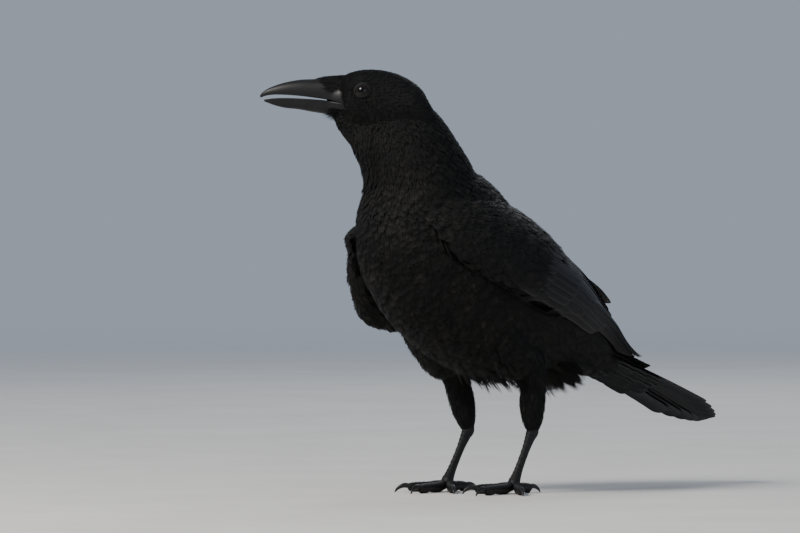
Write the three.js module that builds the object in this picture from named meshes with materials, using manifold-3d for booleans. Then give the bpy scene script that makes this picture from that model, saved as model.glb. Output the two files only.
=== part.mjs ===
// A life-size standing crow, in millimetres, +Z up. The bird faces -Y and its left side is +X.
// Body, neck and head are lofts through a few sections. Wings and tail carry their feathers as vanes.
import * as THREE from "three";
import { mergeVertices } from "three/addons/utils/BufferGeometryUtils.js";
import Module from "manifold-3d";

const wasm = await Module();
wasm.setup();

// ---------- driving dimensions ----------
const GAP = 0.3; // between touching pieces
const LEFT = 1;
const RIGHT = -1;
const SIDES = [LEFT, RIGHT];

const GROUND = 5; // height of the floor in this frame

const HEAD = {
  centre: [-6, -86.7, 278],
  turn: 40, // degrees to the bird's right of the body's heading
  eyeForward: 9.9,
  eyeUp: 3.1,
  eyeOut: 14.3, // centre of the eyeball from the head's middle plane
  eyeballRadius: 6.2,
  lidRadius: 4.9,
  lidThickness: 0.8,
};

const TAIL = {
  root: [4, 80, 104],
  slope: 20.2, // degrees below level
  swing: 3, // degrees that the tip is carried to the bird's right
  roll: 13.5, // degrees that the left edge is carried higher
  arch: 0.002, // how fast the tail falls away from its middle
  length: 139,
};

const FEATHER = {
  thickness: 0.9,
  tilt: 0.1, // one edge of each vane rides over its neighbour
  step: 0.85, // between tail feathers that lie over one another
};

// ---------- tools ----------
const vec = (x, y, z) => new THREE.Vector3(x, y, z);
const radians = THREE.MathUtils.degToRad;
const mix = THREE.MathUtils.lerp;
const middleOf = (points) => points.reduce((sum, p) => sum.add(p), vec(0, 0, 0)).divideScalar(points.length);

// A function that runs smoothly through rows of [station, value, value, ...].
function track(rows) {
  const slopes = rows.map((row, i) => {
    const a = rows[Math.max(0, i - 1)];
    const b = rows[Math.min(rows.length - 1, i + 1)];
    return row.map((_, k) => (b[k] - a[k]) / (b[0] - a[0]));
  });
  return (station) => {
    let i = 0;
    while (i < rows.length - 2 && station > rows[i + 1][0]) i++;
    const span = rows[i + 1][0] - rows[i][0];
    const t = THREE.MathUtils.clamp((station - rows[i][0]) / span, 0, 1);
    const near = 1 + t * t * (2 * t - 3);
    const leave = t * (1 - t) * (1 - t) * span;
    const arrive = t * t * (t - 1) * span;
    return rows[i].map(
      (a, k) => a * near + rows[i + 1][k] * (1 - near) + slopes[i][k] * leave + slopes[i + 1][k] * arrive,
    );
  };
}

const spread = (from, to, count) => Array.from({ length: count }, (_, i) => mix(from, to, i / (count - 1)));

// Unit vectors to the left of and along a heading, which is turned by so many degrees to the bird's right.
const leftOf = (turn) => vec(Math.cos(radians(turn)), -Math.sin(radians(turn)), 0);
const ahead = (turn) => vec(-Math.sin(radians(turn)), -Math.cos(radians(turn)), 0);

// Faces between rings of points, which are numbered ring after ring.
function sleeve(rings) {
  const sides = rings[0].length;
  const at = (ring, side) => ring * sides + (side % sides);
  const faces = [];
  for (let i = 0; i < rings.length - 1; i++) {
    for (let j = 0; j < sides; j++) {
      faces.push(at(i, j), at(i, j + 1), at(i + 1, j + 1), at(i, j), at(i + 1, j + 1), at(i + 1, j));
    }
  }
  return faces;
}

// A closed skin over rings of points, with a pole at each end.
function skin(rings, firstPole, lastPole) {
  const sides = rings[0].length;
  const points = [...rings.flat(), firstPole, lastPole];
  const [first, last] = [points.length - 2, points.length - 1];
  const end = first - sides;
  const faces = sleeve(rings);
  for (let j = 0; j < sides; j++) {
    const k = (j + 1) % sides;
    faces.push(first, k, j, last, end + j, end + k);
  }
  return new THREE.BufferGeometry().setFromPoints(points).setIndex(faces);
}

// A closed strap. Each ring runs out along the strap's top and back along its bottom, and the strap's ends
// are closed from top to bottom.
function strap(rings) {
  const sides = rings[0].length;
  const end = (rings.length - 1) * sides;
  const faces = sleeve(rings);
  for (let j = 0; j < sides / 2 - 1; j++) {
    const [far, near] = [sides - 2 - j, sides - 1 - j];
    faces.push(j, near, far, j, far, j + 1);
    faces.push(end + j, end + j + 1, end + far, end + j, end + far, end + near);
  }
  return new THREE.BufferGeometry().setFromPoints(rings.flat()).setIndex(faces);
}

// A geometry as a manifold-3d solid that faces out.
function solid(geometry) {
  const bare = new THREE.BufferGeometry();
  bare.setAttribute("position", geometry.getAttribute("position"));
  bare.setIndex(geometry.index);
  const merged = mergeVertices(bare, 1e-4);
  const build = (triVerts) =>
    new wasm.Manifold(
      new wasm.Mesh({ numProp: 3, vertProperties: merged.attributes.position.array, triVerts }),
    );
  const triVerts = new Uint32Array(merged.index.array);
  const made = build(triVerts);
  return made.volume() > 0 ? made : build(triVerts.map((_, i) => triVerts[i - (i % 3) + (2 - (i % 3))]));
}

const fused = (solids) => solids.reduce((whole, piece) => whole.add(piece));
const without = (whole, cutters) => cutters.reduce((left, cutter) => left.subtract(cutter), whole);

// The largest closed surface of a solid. Scraps and sealed hollows go, but a loose feather is an error.
const SCRAP = 20; // mm3
function largest(whole) {
  const [kept, ...loose] = whole.decompose().sort((a, b) => b.volume() - a.volume());
  const lost = loose.filter((piece) => Math.abs(piece.volume()) > SCRAP);
  if (lost.length > 0) {
    throw new Error(`loose pieces: ${lost.map((piece) => `${piece.volume().toFixed(0)} mm3`).join(", ")}`);
  }
  return kept;
}

// Rows are [station, x, y, z, turn, wide, up, down]: a centre, a heading, and a section's half sizes.
// The result is a point of the lofted surface at a station, at an angle up from the left side.
function section(rows, power = [2, 2]) {
  const row = track(rows);
  const step = 0.01;
  return (station, angle, grow = 0) => {
    const [, x, y, z, turn, wide, up, down] = row(station);
    const behind = row(station - step);
    const beyond = row(station + step);
    const along = vec(beyond[1] - behind[1], beyond[2] - behind[2], beyond[3] - behind[3]).normalize();
    const top = along.clone().cross(leftOf(turn)).normalize();
    const side = top.clone().cross(along);
    const across = Math.cos(radians(angle));
    const rise = Math.sin(radians(angle));
    const round = (v) => Math.sign(v) * Math.abs(v) ** (2 / (rise > 0 ? power[0] : power[1]));
    return vec(x, y, z)
      .addScaledVector(side, round(across) * (wide + grow))
      .addScaledVector(top, round(rise) * ((rise > 0 ? up : down) + grow));
  };
}

const END_BULGE = 0.35; // how far a loft's rounded end stands off its last section, in half widths

// A closed loft. relief adds to the surface at a station and an angle.
function loft(rows, { sides = 16, stations, grow = 0, power, relief = () => 0 }) {
  const point = section(rows, power);
  const rings = stations.map((station) =>
    spread(0.5, sides - 0.5, sides)
      .map((j) => (360 * j) / sides)
      .map((angle) => point(station, angle, grow + relief(station, angle))),
  );
  const pole = (ring, next) => {
    const middle = middleOf(ring);
    const out = middle.clone().sub(middleOf(next)).normalize();
    return middle.addScaledVector(out, END_BULGE * ring[0].distanceTo(middleOf(ring)) + grow);
  };
  return solid(skin(rings, pole(rings[0], rings[1]), pole(rings.at(-1), rings.at(-2))));
}

// A thin tapered blade: each row has a left, right, top and bottom point, and the end rows are single points.
// Both faces are split into triangles alike.
function blade(rows) {
  const rings = rows.slice(1, -1);
  const points = [...rings.flatMap(({ left, top, right, bottom }) => [left, top, right, bottom])];
  points.push(rows[0].middle, rows.at(-1).middle);
  const root = points.length - 2;
  const tip = points.length - 1;
  const faces = [];
  const [L, T, R, B] = [0, 1, 2, 3];
  for (let i = 0; i < rings.length - 1; i++) {
    const here = i * 4;
    const next = here + 4;
    faces.push(here + L, here + T, next + T, here + L, next + T, next + L);
    faces.push(here + T, here + R, next + R, here + T, next + R, next + T);
    faces.push(here + L, next + B, here + B, here + L, next + L, next + B);
    faces.push(here + B, next + R, here + R, here + B, next + B, next + R);
  }
  const end = (rings.length - 1) * 4;
  for (let j = 0; j < 4; j++) {
    const k = (j + 1) % 4;
    faces.push(root, k, j, tip, end + j, end + k);
  }
  return solid(new THREE.BufferGeometry().setFromPoints(points).setIndex(faces));
}

// A feather's outline: half width at shares of its length.
const VANE_SHARES = [0, 0.12, 0.5, 0.93, 1];
const VANE_FULLNESS = [0, 0.6, 1, 0.8, 0];

// A feather laid on a surface(along, across, lift). from and to are [along, across]; wide is its half width
// on either side of its shaft, and lift its height above the surface at the root and at the tip. raise lifts
// the tip further, as a stiff feather leaves a surface that curves away.
function vane(surface, { from, to, wide, lift, tilt = FEATHER.tilt, raise = 0, thick = FEATHER.thickness }) {
  const rows = VANE_SHARES.map((share, i) => {
    const along = mix(from[0], to[0], share);
    const across = mix(from[1], to[1], share);
    const height = mix(lift[0], lift[1], Math.sqrt(share)) + raise * share * share;
    const unit = surface(along, across + 0.5, height).distanceTo(surface(along, across - 0.5, height));
    const half = wide.map((w) => w * VANE_FULLNESS[i]);
    const shaft = (thick / 2) * (1 - 0.35 * share);
    return {
      middle: surface(along, across, height),
      left: surface(along, across + half[0] / unit, height + tilt * half[0]),
      right: surface(along, across - half[1] / unit, height - tilt * half[1]),
      top: surface(along, across, height + shaft),
      bottom: surface(along, across, height - shaft),
    };
  });
  return blade(rows);
}

const LOCK_SHARES = [0, 0.08, 0.45, 0.8, 1];
const LOCK_FULLNESS = [0, 0.75, 1, 0.55, 0];

// A flat tapered lock along a path of points. out(share) is the way its flat face looks.
function lock(path, out, wide, thick) {
  const curve = new THREE.CatmullRomCurve3(path);
  const rows = LOCK_SHARES.map((share, i) => {
    const middle = curve.getPoint(share);
    const along = curve.getTangent(share);
    const side = along.clone().cross(out).normalize();
    const face = side.clone().cross(along);
    const half = (wide / 2) * LOCK_FULLNESS[i];
    const depth = (thick / 2) * LOCK_FULLNESS[i];
    return {
      middle,
      left: middle.clone().addScaledVector(side, half),
      right: middle.clone().addScaledVector(side, -half),
      top: middle.clone().addScaledVector(face, depth),
      bottom: middle.clone().addScaledVector(face, -depth),
    };
  });
  return blade(rows);
}

const FLOOR = solid(new THREE.BoxGeometry(1000, 1000, 40).translate(0, 0, GROUND - 20));

// ---------- body and neck ----------
// From the tail's root to the inside of the head: [station, x, y, z, turn, wide, up, down].
const BODY_ROWS = [
  [0, 0, 118, 92, 0, 8, 6, 6],
  [1, 0, 106, 97.5, 0, 18, 12, 12],
  [2, 0, 86, 109, 0, 31, 22, 23],
  [3, 0, 56, 126, 0, 43, 36, 45],
  [4, 0, 21, 143, 0, 49, 48, 62],
  [5, 0, -12, 158, 0, 51, 56, 62],
  [6, 0, -38, 178, 0, 49, 58, 62],
  [7, 0, -54, 201, 0, 42, 52, 57],
  [8, 0, -61, 223, 6, 36, 43, 37],
  [9, -2, -68, 243, 22, 32, 36, 32],
  [10, -4, -75, 259, 34, 26, 30, 32],
  [11, -5, -80, 271, 40, 18, 18, 24],
];
const BODY_POWER = [1.9, 2.1];
const bodyPoint = section(BODY_ROWS, BODY_POWER);
const body = (grow) => loft(BODY_ROWS, { sides: 22, stations: spread(0, 11, 23), grow, power: BODY_POWER });

// Soft locks that hang from the belly and vent: [first and last station, first and last angle, length].
const FLUFF = [
  { stations: [4.35, 3.75], angles: [257, 283], rows: 2, count: 4, length: 24, wide: 11 },
  { stations: [3.15, 2.75], angles: [238, 302], rows: 2, count: 6, length: 19, wide: 12 },
];

function fluff({ stations, angles, rows, count, length, wide }) {
  const locks = [];
  spread(...stations, rows).forEach((station, i) => {
    spread(...angles, count).forEach((angle, j) => {
      const stagger = (i % 2) * 0.5;
      const turned = angle + (stagger * (angles[1] - angles[0])) / count;
      const out = bodyPoint(station, turned, 1).sub(bodyPoint(station, turned, 0)).normalize();
      const vary = 1 + 0.22 * Math.sin(5 * i + 3 * j);
      const start = bodyPoint(station, turned, -3);
      const back = vec(0, 0.86, -0.16);
      const path = [0, 0.5, 1].map((t) =>
        start
          .clone()
          .addScaledVector(back, t * length * vary)
          .addScaledVector(out, 2.2 + t * t * length * 0.28)
          .add(vec(0, 0, -t * t * length * 0.3)),
      );
      path[0].copy(start);
      locks.push(lock(path, out, wide * vary, 1.8));
    });
  });
  return locks;
}

// ---------- head, eyes and bill ----------
// A point of the head, by its distances ahead of, above and to the left of the head's centre.
function headPoint(forward, up, out) {
  return vec(...HEAD.centre)
    .addScaledVector(ahead(HEAD.turn), forward)
    .addScaledVector(leftOf(HEAD.turn), out)
    .add(vec(0, 0, up));
}

// Rows along the head's own axis, [forward, level, wide, up, down], as rows for a loft.
const headRows = (rows) =>
  rows.map(([forward, level, ...sizes]) => [forward, ...headPoint(forward, level, 0), HEAD.turn, ...sizes]);

const SKULL_ROWS = headRows([
  [-36, -12.5, 8, 5, 8],
  [-30, -10, 15, 10, 14],
  [-21, -5.5, 19.5, 16.4, 20],
  [-10, -3, 21.8, 21, 23],
  [1, -2, 22, 22.3, 23.5],
  [11, -1.5, 20.3, 21.6, 21.5],
  [20, -1, 17, 19, 18.5],
  [27, -1, 13.4, 16.5, 15.5],
  [32, -1, 10.5, 13.6, 12.5],
  [35, -1, 7, 9, 9],
]);
const skull = () =>
  loft(SKULL_ROWS, { sides: 20, stations: [-36, -31, -25, -17, -8, 1, 10, 18, 25, 31, 35] });

const BILL_POWER = [2.2, 2.2];
const UPPER_BILL_ROWS = headRows([
  [14, -5.6, 8.6, 16, 0.5],
  [24, -4, 8.8, 18, 0.5],
  [34, -1.9, 8.1, 15.1, 0.5],
  [44, -0.4, 7, 12.4, 0.5],
  [54, 0.8, 5.8, 10.6, 0.5],
  [64, 1.5, 4.4, 7.9, 0.5],
  [72, 1.5, 2.9, 5, 0.5],
  [77, 0.7, 1.6, 2.9, 0.5],
  [80, -0.6, 0.5, 1.2, 0.4],
]);
const LOWER_BILL_ROWS = headRows([
  [14, -6.9, 8.2, 0.4, 7.5],
  [24, -5.4, 8.2, 0.4, 8],
  [34, -3.4, 7.2, 0.4, 8.8],
  [44, -2.4, 6, 0.4, 8.3],
  [54, -1.8, 4.9, 0.4, 7.1],
  [64, -1.5, 3.6, 0.4, 6.3],
  [72, -1.8, 2.2, 0.4, 4],
  [77.5, -2.6, 0.7, 0.4, 1],
]);
const BILL_STATIONS = [14, 22, 28, 34, 41, 48, 55, 62, 68, 73];
const upperBillPoint = section(UPPER_BILL_ROWS, BILL_POWER);
const lowerBillPoint = section(LOWER_BILL_ROWS, BILL_POWER);
const upperBill = (grow = 0) =>
  loft(UPPER_BILL_ROWS, { sides: 12, stations: [...BILL_STATIONS, 77, 80], grow, power: BILL_POWER });
const lowerBill = (grow = 0) =>
  loft(LOWER_BILL_ROWS, { sides: 12, stations: [...BILL_STATIONS, 77.5], grow, power: BILL_POWER });

const eyeCentre = (side) => headPoint(HEAD.eyeForward, HEAD.eyeUp, side * HEAD.eyeOut);
const eyeball = (side, grow = 0) =>
  solid(new THREE.SphereGeometry(HEAD.eyeballRadius + grow, 14, 8).translate(...eyeCentre(side)));

// The rim of the lids: a ring round the eye, turned to face out of the head.
function lids(side) {
  const out = leftOf(HEAD.turn).multiplyScalar(side).addScaledVector(ahead(HEAD.turn), 0.16).normalize();
  const reach = Math.sqrt(HEAD.eyeballRadius ** 2 - HEAD.lidRadius ** 2);
  const ring = new THREE.TorusGeometry(HEAD.lidRadius, HEAD.lidThickness, 4, 14);
  ring.applyQuaternion(new THREE.Quaternion().setFromUnitVectors(vec(0, 0, 1), out));
  return solid(ring.translate(...eyeCentre(side).addScaledVector(out, reach)));
}

// Bristles that lie forward along the bill from its base, over the nostrils and under the chin.
// Each is [surface, angle on the bill, first and last distance ahead, width, how far its tip stands off].
function bristles() {
  const rows = [];
  for (const [angle, tip] of [[14, 41], [32, 45], [50, 46], [68, 43], [86, 38]]) {
    rows.push([upperBillPoint, angle, [21, tip], 4.6], [upperBillPoint, 180 - angle, [21, tip], 4.6]);
  }
  for (const [angle, tip] of [[222, 34], [245, 38], [270, 40], [295, 38], [318, 34]]) {
    rows.push([lowerBillPoint, angle, [18, tip], 4.2, 3.4]);
  }
  return rows.map(([surface, angle, [from, to], wide, stand = 1.1]) => {
    const heights = [-1.2, 1.3, mix(1.5, stand, 0.5), stand];
    const path = heights.map((height, i) => surface(mix(from, to, i / 3), angle, height));
    const middle = mix(from, to, 0.5);
    const out = surface(middle, angle, 1).sub(surface(middle, angle, 0)).normalize();
    return lock(path, out, wide, 1.3);
  });
}

// ---------- wings ----------
// The folded wing is wrapped round a line. Rows: [along, y, z of the line, half width, half height].
// edge gives its lower and upper angle. The right wing is carried low and forward of the breast, and its
// innermost feathers are raised and reach further back.
const WINGS = {
  left: {
    side: LEFT,
    wrap: track([
      [-20, -76, 193, 40, 30],
      [0, -60, 185, 51, 40],
      [37, -26, 170, 60, 48],
      [78, 11, 152.5, 60, 45.5],
      [130, 58, 131.5, 48, 34.5],
      [175, 96, 112, 32, 17.5],
      [196, 113, 100.5, 25, 10],
      [215, 129, 92, 19.5, 6],
      [235, 148, 85, 15, 5],
      [257, 169, 79, 10, 4],
    ]),
    edge: track([
      [-20, 0, 14],
      [0, -22, 46],
      [37, -22, 66],
      [78, -24, 72],
      [130, -24, 74],
      [160, -18, 66],
    ]),
    raise: 0,
    reach: 0,
  },
  right: {
    side: RIGHT,
    wrap: track([
      [-20, -92, 166, 41.5, 30],
      [0, -74, 162, 55.5, 45],
      [20, -56, 157, 64.5, 55],
      [40, -38, 153, 70.5, 60],
      [62, -16, 149, 71.5, 60],
      [90, 13, 145, 67, 55],
      [130, 54, 134, 53, 41],
      [175, 97, 116, 35, 23],
      [196, 115, 103, 27, 13],
      [215, 131, 93.5, 20.5, 8],
      [235, 150, 86, 15.5, 6],
      [257, 170, 79, 10.5, 5],
    ]),
    edge: track([
      [-20, -6, 22],
      [0, -34, 48],
      [20, -38, 56],
      [40, -39, 66],
      [62, -37, 70],
      [90, -33, 73],
      [130, -26, 74],
      [160, -18, 66],
    ]),
    raise: 17,
    reach: 26,
  },
};
const WING_SLOPE = 24; // degrees that the wing's line falls towards the tail

// A point on a folded wing: so far along its line, at an angle up from level, lifted off the wrap.
const wingSurface = (wing) => (along, angle, lift) => {
  const [, y, z, wide, high] = wing.wrap(along);
  const turn = radians(angle);
  const rise = Math.sin(turn) * (high + lift);
  const out = wing.side * Math.cos(turn) * (wide + lift);
  return vec(out, y + Math.sin(radians(WING_SLOPE)) * rise, z + Math.cos(radians(WING_SLOPE)) * rise);
};

// The arm and hand under the coverts, from the bend of the wing to the roots of the flight feathers.
const PAD_STATIONS = [-20, -12, 4, 26, 50, 76, 102, 128, 152];
const PAD_TOP = -3.4;
const PAD_DEPTH = track([
  [-20, 5],
  [0, 11],
  [37, 13],
  [90, 12],
  [130, 7],
  [152, 2.2],
]);

function wingPad(wing) {
  const surface = wingSurface(wing);
  const rings = PAD_STATIONS.map((along) => {
    const [, low, high] = wing.edge(along);
    const depth = PAD_DEPTH(along)[1];
    const row = (lift) => spread(low + 1, high - 1, 6).map((angle) => surface(along, angle, lift));
    return [...row(PAD_TOP), ...row(PAD_TOP - depth).reverse()];
  });
  return solid(strap(rings));
}

// Tiers of feathers: [name, count, roots, tips, half widths, lift at the tip, stack]. Roots and tips are the
// [along, angle] of a tier's first and last feather, half widths are those of the upper and the lower web,
// and stack is how much higher each feather's tip lies than the last one's.
const TIERS = [
  ["primaries", 6, [[103, -12], [112, 3]], [[200, 4], [244, 30]], [6, 3], -4.4, 0.7],
  ["secondaries", 5, [[78, -12], [78, 44]], [[152, -13], [184, 47]], [11, 8], -2.6, 0.1],
  ["tertials", 3, [[78, 48], [84, 66]], [[176, 56], [166, 76]], [9, 9], -1.2, 0.9],
  ["primary coverts", 2, [[62, -14], [66, -6]], [[106, -17], [122, -10]], [6, 5], -1.8, 0.7],
  ["greater coverts", 6, [[52, -12], [68, 56]], [[104, -12], [128, 60]], [10, 7.5], -0.8, 0],
  ["median coverts", 5, [[28, -12], [52, 44]], [[70, -13], [98, 56]], [11.5, 8], 0, 0],
  ["lesser coverts", 4, [[4, -10], [34, 32]], [[42, -14], [70, 46]], [12, 9], 2.2, 0],
  ["scapulars", 4, [[62, 48], [86, 66]], [[98, 54], [142, 70]], [11, 9], -2.6, -0.3],
  ["alula", 2, [[30, -15], [36, -11]], [[74, -20], [84, -16]], [5, 4], -0.6, 0.6],
];
const ROOT_LIFT = -8; // every root is sunk this deep into the pad

function featheredWing(wing) {
  const surface = wingSurface(wing);
  const vanes = TIERS.flatMap(([name, count, roots, tips, wide, lift, stack]) =>
    spread(0, 1, count).map((share, i) => {
      const between = ([a, b]) => [mix(a[0], b[0], share), mix(a[1], b[1], share)];
      const loose = name === "tertials" ? 1 : 0; // their tips stand up on a loosely folded wing
      const [along, angle] = between(tips);
      return vane(surface, {
        from: between(roots),
        to: [along + loose * wing.reach, angle],
        wide,
        lift: [ROOT_LIFT, lift + stack * i],
        raise: loose * wing.raise,
      });
    }),
  );
  return fused([wingPad(wing), ...vanes]);
}

// ---------- tail ----------
// A point of the tail, by its distances along it, to the left and above its plane.
function tailPoint(along, out, lift) {
  const frame = new THREE.Matrix4()
    .makeRotationZ(radians(TAIL.swing))
    .multiply(new THREE.Matrix4().makeRotationX(-radians(TAIL.slope)))
    .multiply(new THREE.Matrix4().makeRotationY(-radians(TAIL.roll)));
  return vec(out, along, lift - TAIL.arch * out * out)
    .applyMatrix4(frame)
    .add(vec(...TAIL.root));
}

// The fleshy root that the tail feathers are set in: [along, half width, half thickness].
const TAIL_CORE = track([
  [-8, 14, 8],
  [20, 17, 7],
  [45, 17, 5],
  [62, 13, 2],
]);

function tailCore() {
  const sides = 10;
  const rings = [-8, 6, 20, 34, 48, 62].map((along) => {
    const [, wide, thick] = TAIL_CORE(along);
    return spread(0, 360 - 360 / sides, sides).map((angle) =>
      tailPoint(along, Math.cos(radians(angle)) * wide, Math.sin(radians(angle)) * thick - 2.6),
    );
  });
  return solid(skin(rings, middleOf(rings[0]), middleOf(rings.at(-1))));
}

// The k-th tail feather from the middle. The left middle one lies on top, and each further one lies lower.
const RECTRICES = 6; // on either side
function rectrix(side, k) {
  const middlePair = k === 0;
  const out = 1.6 + 3.6 * k;
  const inner = Math.min(9, out + (middlePair ? 5 : -0.4));
  const outer = middlePair ? 7 : 5.2;
  const place = middlePair && side === LEFT ? 0 : k + 1;
  return vane(tailPoint, {
    from: [8, side * (1 + 2 * k)],
    to: [TAIL.length - 0.85 * k * k - 0.6 * k, side * out],
    wide: side === LEFT ? [outer, inner] : [inner, outer],
    lift: [-2.4 - 0.2 * k, -FEATHER.step * place],
    tilt: 0,
  });
}

// The feathers that cover the roots of the tail: how far the middle ones reach, lifts at root and tip, how
// much each further one's tip is raised, and which way its edges lean.
const TAIL_COVERTS = [
  { reach: 84, lift: [-5.5, -8.6], raise: 0.4, lean: 0.08 },
  { reach: 70, lift: [0, 2.4], raise: -1, lean: -0.08 },
];
const COVERTS = 2; // on either side, above and below
function tailCovert(side, k, { reach, lift: [root, tip], raise, lean }) {
  const out = side * (4.5 + 8.5 * k);
  return vane(tailPoint, {
    from: [26, out],
    to: [reach - 7 * k, out * 1.05],
    wide: [8, 8],
    lift: [root, tip + raise * k],
    tilt: lean * side,
  });
}

function tail() {
  const vanes = SIDES.flatMap((side) => [
    ...Array.from({ length: RECTRICES }, (_, k) => rectrix(side, k)),
    ...TAIL_COVERTS.flatMap((tier) => Array.from({ length: COVERTS }, (_, k) => tailCovert(side, k, tier))),
  ]);
  return fused([tailCore(), ...vanes]);
}

// ---------- legs ----------
// Per side: the middle of the thigh, the shin's top, the heel and the joint above the toes.
const LEGS = {
  left: { thigh: [27, 16, 112], shin: [30, 22, 82], heel: [27, 24.5, 47.8], foot: [26, 8, 11.6] },
  right: { thigh: [-26, -4, 112], shin: [-29, 4, 82], heel: [-27, 12.5, 47.8], foot: [-26, -8, 11.6] },
};

const between = (a, b, share) => a.map((v, i) => mix(v, b[i], share));

function thigh({ thigh: top, shin, heel }, grow = 0) {
  const rows = [
    [0, ...top, 0, 15, 18, 17],
    [1, ...between(top, shin, 0.55), 0, 13, 15, 14.5],
    [2, ...shin, 0, 10, 11.5, 11],
    [3, ...between(shin, heel, 0.4), 0, 7.8, 9.2, 8.8],
    [4, ...between(shin, heel, 0.75), 0, 5.6, 6.8, 6.4],
    [5, ...between(shin, heel, 0.96), 0, 4.2, 5, 4.7],
  ];
  return loft(rows, { sides: 12, stations: spread(0, 5, 10), grow });
}

// Scutes: overlapping plates across the front of a shank or the top of a toe. Each rises towards its lower end.
const SCUTE_RISE = 0.45;
const scutes = (first, last, count, faces) => (station, angle) => {
  const place = ((station - first) / (last - first)) * count;
  const inside = place >= 0 && place <= count;
  return inside && faces(angle) ? SCUTE_RISE * (place - Math.floor(place)) : 0;
};
// Two stations for each plate, one on either side of its step.
const scuteStations = (first, last, count) =>
  spread(0, count - 1, count).flatMap((i) => [0.02, 0.98].map((s) => mix(first, last, (i + s) / count)));

const SHANK_SCUTES = 8;

function tarsus({ shin, heel, foot }, grow = 0) {
  const rows = [
    [-1, ...between(heel, shin, 0.14), 0, 3, 3.4, 3.4],
    [0, ...heel, 0, 3.9, 4.6, 4.6],
    [1, ...between(heel, foot, 0.14), 0, 3, 3.7, 3.7],
    [2, ...between(heel, foot, 0.35), 0, 2.3, 3, 2.9],
    [3, ...between(heel, foot, 0.65), 0, 2.3, 3, 2.9],
    [4, ...between(heel, foot, 0.85), 0, 3, 3.4, 3.5],
    [5, ...foot, 0, 4.6, 4.2, 4.6],
    [6, foot[0], foot[1] - 1, foot[2] - 2.6, 0, 4, 3.4, 3.6],
  ];
  const stations = [-1, -0.3, ...scuteStations(0.4, 4.6, SHANK_SCUTES), 5.1, 5.7, 6];
  const front = (angle) => angle < 180;
  return loft(rows, { sides: 9, stations, grow, relief: scutes(0.4, 4.6, SHANK_SCUTES, front) });
}

// Toes: [name, turn from the bird's heading (right is plus), length, start to the left of the joint].
const TOES = {
  left: [
    ["inner", 24, 25, -3.4],
    ["middle", -13, 34, 0],
    ["outer", -56, 25, 3.6],
    ["hind", 168, 19, 0],
  ],
  right: [
    ["inner", -54, 25, 3.4],
    ["middle", -15, 34, 0],
    ["outer", 27, 25, -3.6],
    ["hind", 176, 19, 0],
  ],
};
const TOE_RADIUS = 3.1;
const TOE_SCUTES = 4;

// Where a toe runs: from the joint down to the ground, then along it, thicker at its pads.
function toePath(foot, [name, turn, length, start]) {
  const hind = name === "hind";
  const origin = vec(...foot).add(vec(start, 0, 0));
  const at = (forward, z) => [...origin.clone().addScaledVector(ahead(turn), forward).setZ(GROUND + z)];
  return [
    [0, ...at(hind ? 0.5 : 1, 5.2), turn, TOE_RADIUS * 0.9, 2.8, 2.8],
    [1, ...at(5, 4.9), turn, TOE_RADIUS, 3, 3.4],
    [2, ...at(length * 0.35, 4.2), turn, TOE_RADIUS, 3, 4.6],
    [3, ...at(length * 0.62, hind ? 4.4 : 4.2), turn, TOE_RADIUS * 0.9, 2.7, 3.5],
    [4, ...at(length * 0.85, 4), turn, TOE_RADIUS * 0.86, 2.6, 4.5],
    [5, ...at(length, 3.8), turn, TOE_RADIUS * 0.66, 2, 2.6],
  ];
}

function toe(foot, spec, grow = 0) {
  const stations = [0, 0.8, ...scuteStations(1.2, 4.6, TOE_SCUTES), 5];
  const top = (angle) => angle < 180;
  const relief = scutes(1.2, 4.6, TOE_SCUTES, top);
  return loft(toePath(foot, spec), { sides: 6, stations, grow, relief });
}

// A claw: an arc that leaves the toe's tip level and comes down to the floor.
function claw(foot, spec) {
  const [, x, y, z, turn] = toePath(foot, spec).at(-1);
  const reach = spec[0] === "hind" ? 11.5 : 9.5;
  const at = (forward, height) => [...vec(x, y, 0).addScaledVector(ahead(turn), forward).setZ(height)];
  const rows = [
    [0, ...at(-2.2, z + 0.2), turn, 1.5, 1.7, 1.7],
    [1, ...at(reach * 0.2, z + 0.9), turn, 1.5, 1.7, 1.9],
    [2, ...at(reach * 0.5, z + 0.4), turn, 1.2, 1.4, 1.6],
    [3, ...at(reach * 0.8, z - 1.3), turn, 0.8, 1, 1.1],
    [4, ...at(reach, z - 3.7), turn, 0.35, 0.4, 0.4],
  ];
  return loft(rows, { sides: 5, stations: [0, 1.1, 2.2, 3.2, 4] });
}

// ---------- parting the body and assembling the bird ----------
const FINISH = {
  plumage: new THREE.MeshStandardMaterial({ color: 0x101013, roughness: 0.5, metalness: 0 }),
  flight: new THREE.MeshStandardMaterial({ color: 0x141418, roughness: 0.42, metalness: 0 }),
  horn: new THREE.MeshStandardMaterial({ color: 0x121213, roughness: 0.35, metalness: 0 }),
  leg: new THREE.MeshStandardMaterial({ color: 0x0e0e0f, roughness: 0.55, metalness: 0 }),
  claw: new THREE.MeshStandardMaterial({ color: 0x0b0b0c, roughness: 0.35, metalness: 0 }),
  eye: new THREE.MeshStandardMaterial({ color: 0x140c07, roughness: 0.08, metalness: 0 }),
};

const bird = new THREE.Group();

function place(name, made, material) {
  const { vertProperties, triVerts, numProp } = made.getMesh();
  const count = vertProperties.length / numProp;
  const position = Float32Array.from({ length: count * 3 }, (_, i) =>
    vertProperties[Math.floor(i / 3) * numProp + (i % 3)],
  );
  const geometry = new THREE.BufferGeometry();
  geometry.setAttribute("position", new THREE.BufferAttribute(position, 3));
  geometry.setIndex(new THREE.BufferAttribute(triVerts, 1));
  geometry.computeVertexNormals();
  const mesh = new THREE.Mesh(geometry, material);
  mesh.name = name;
  bird.add(mesh);
}

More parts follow.
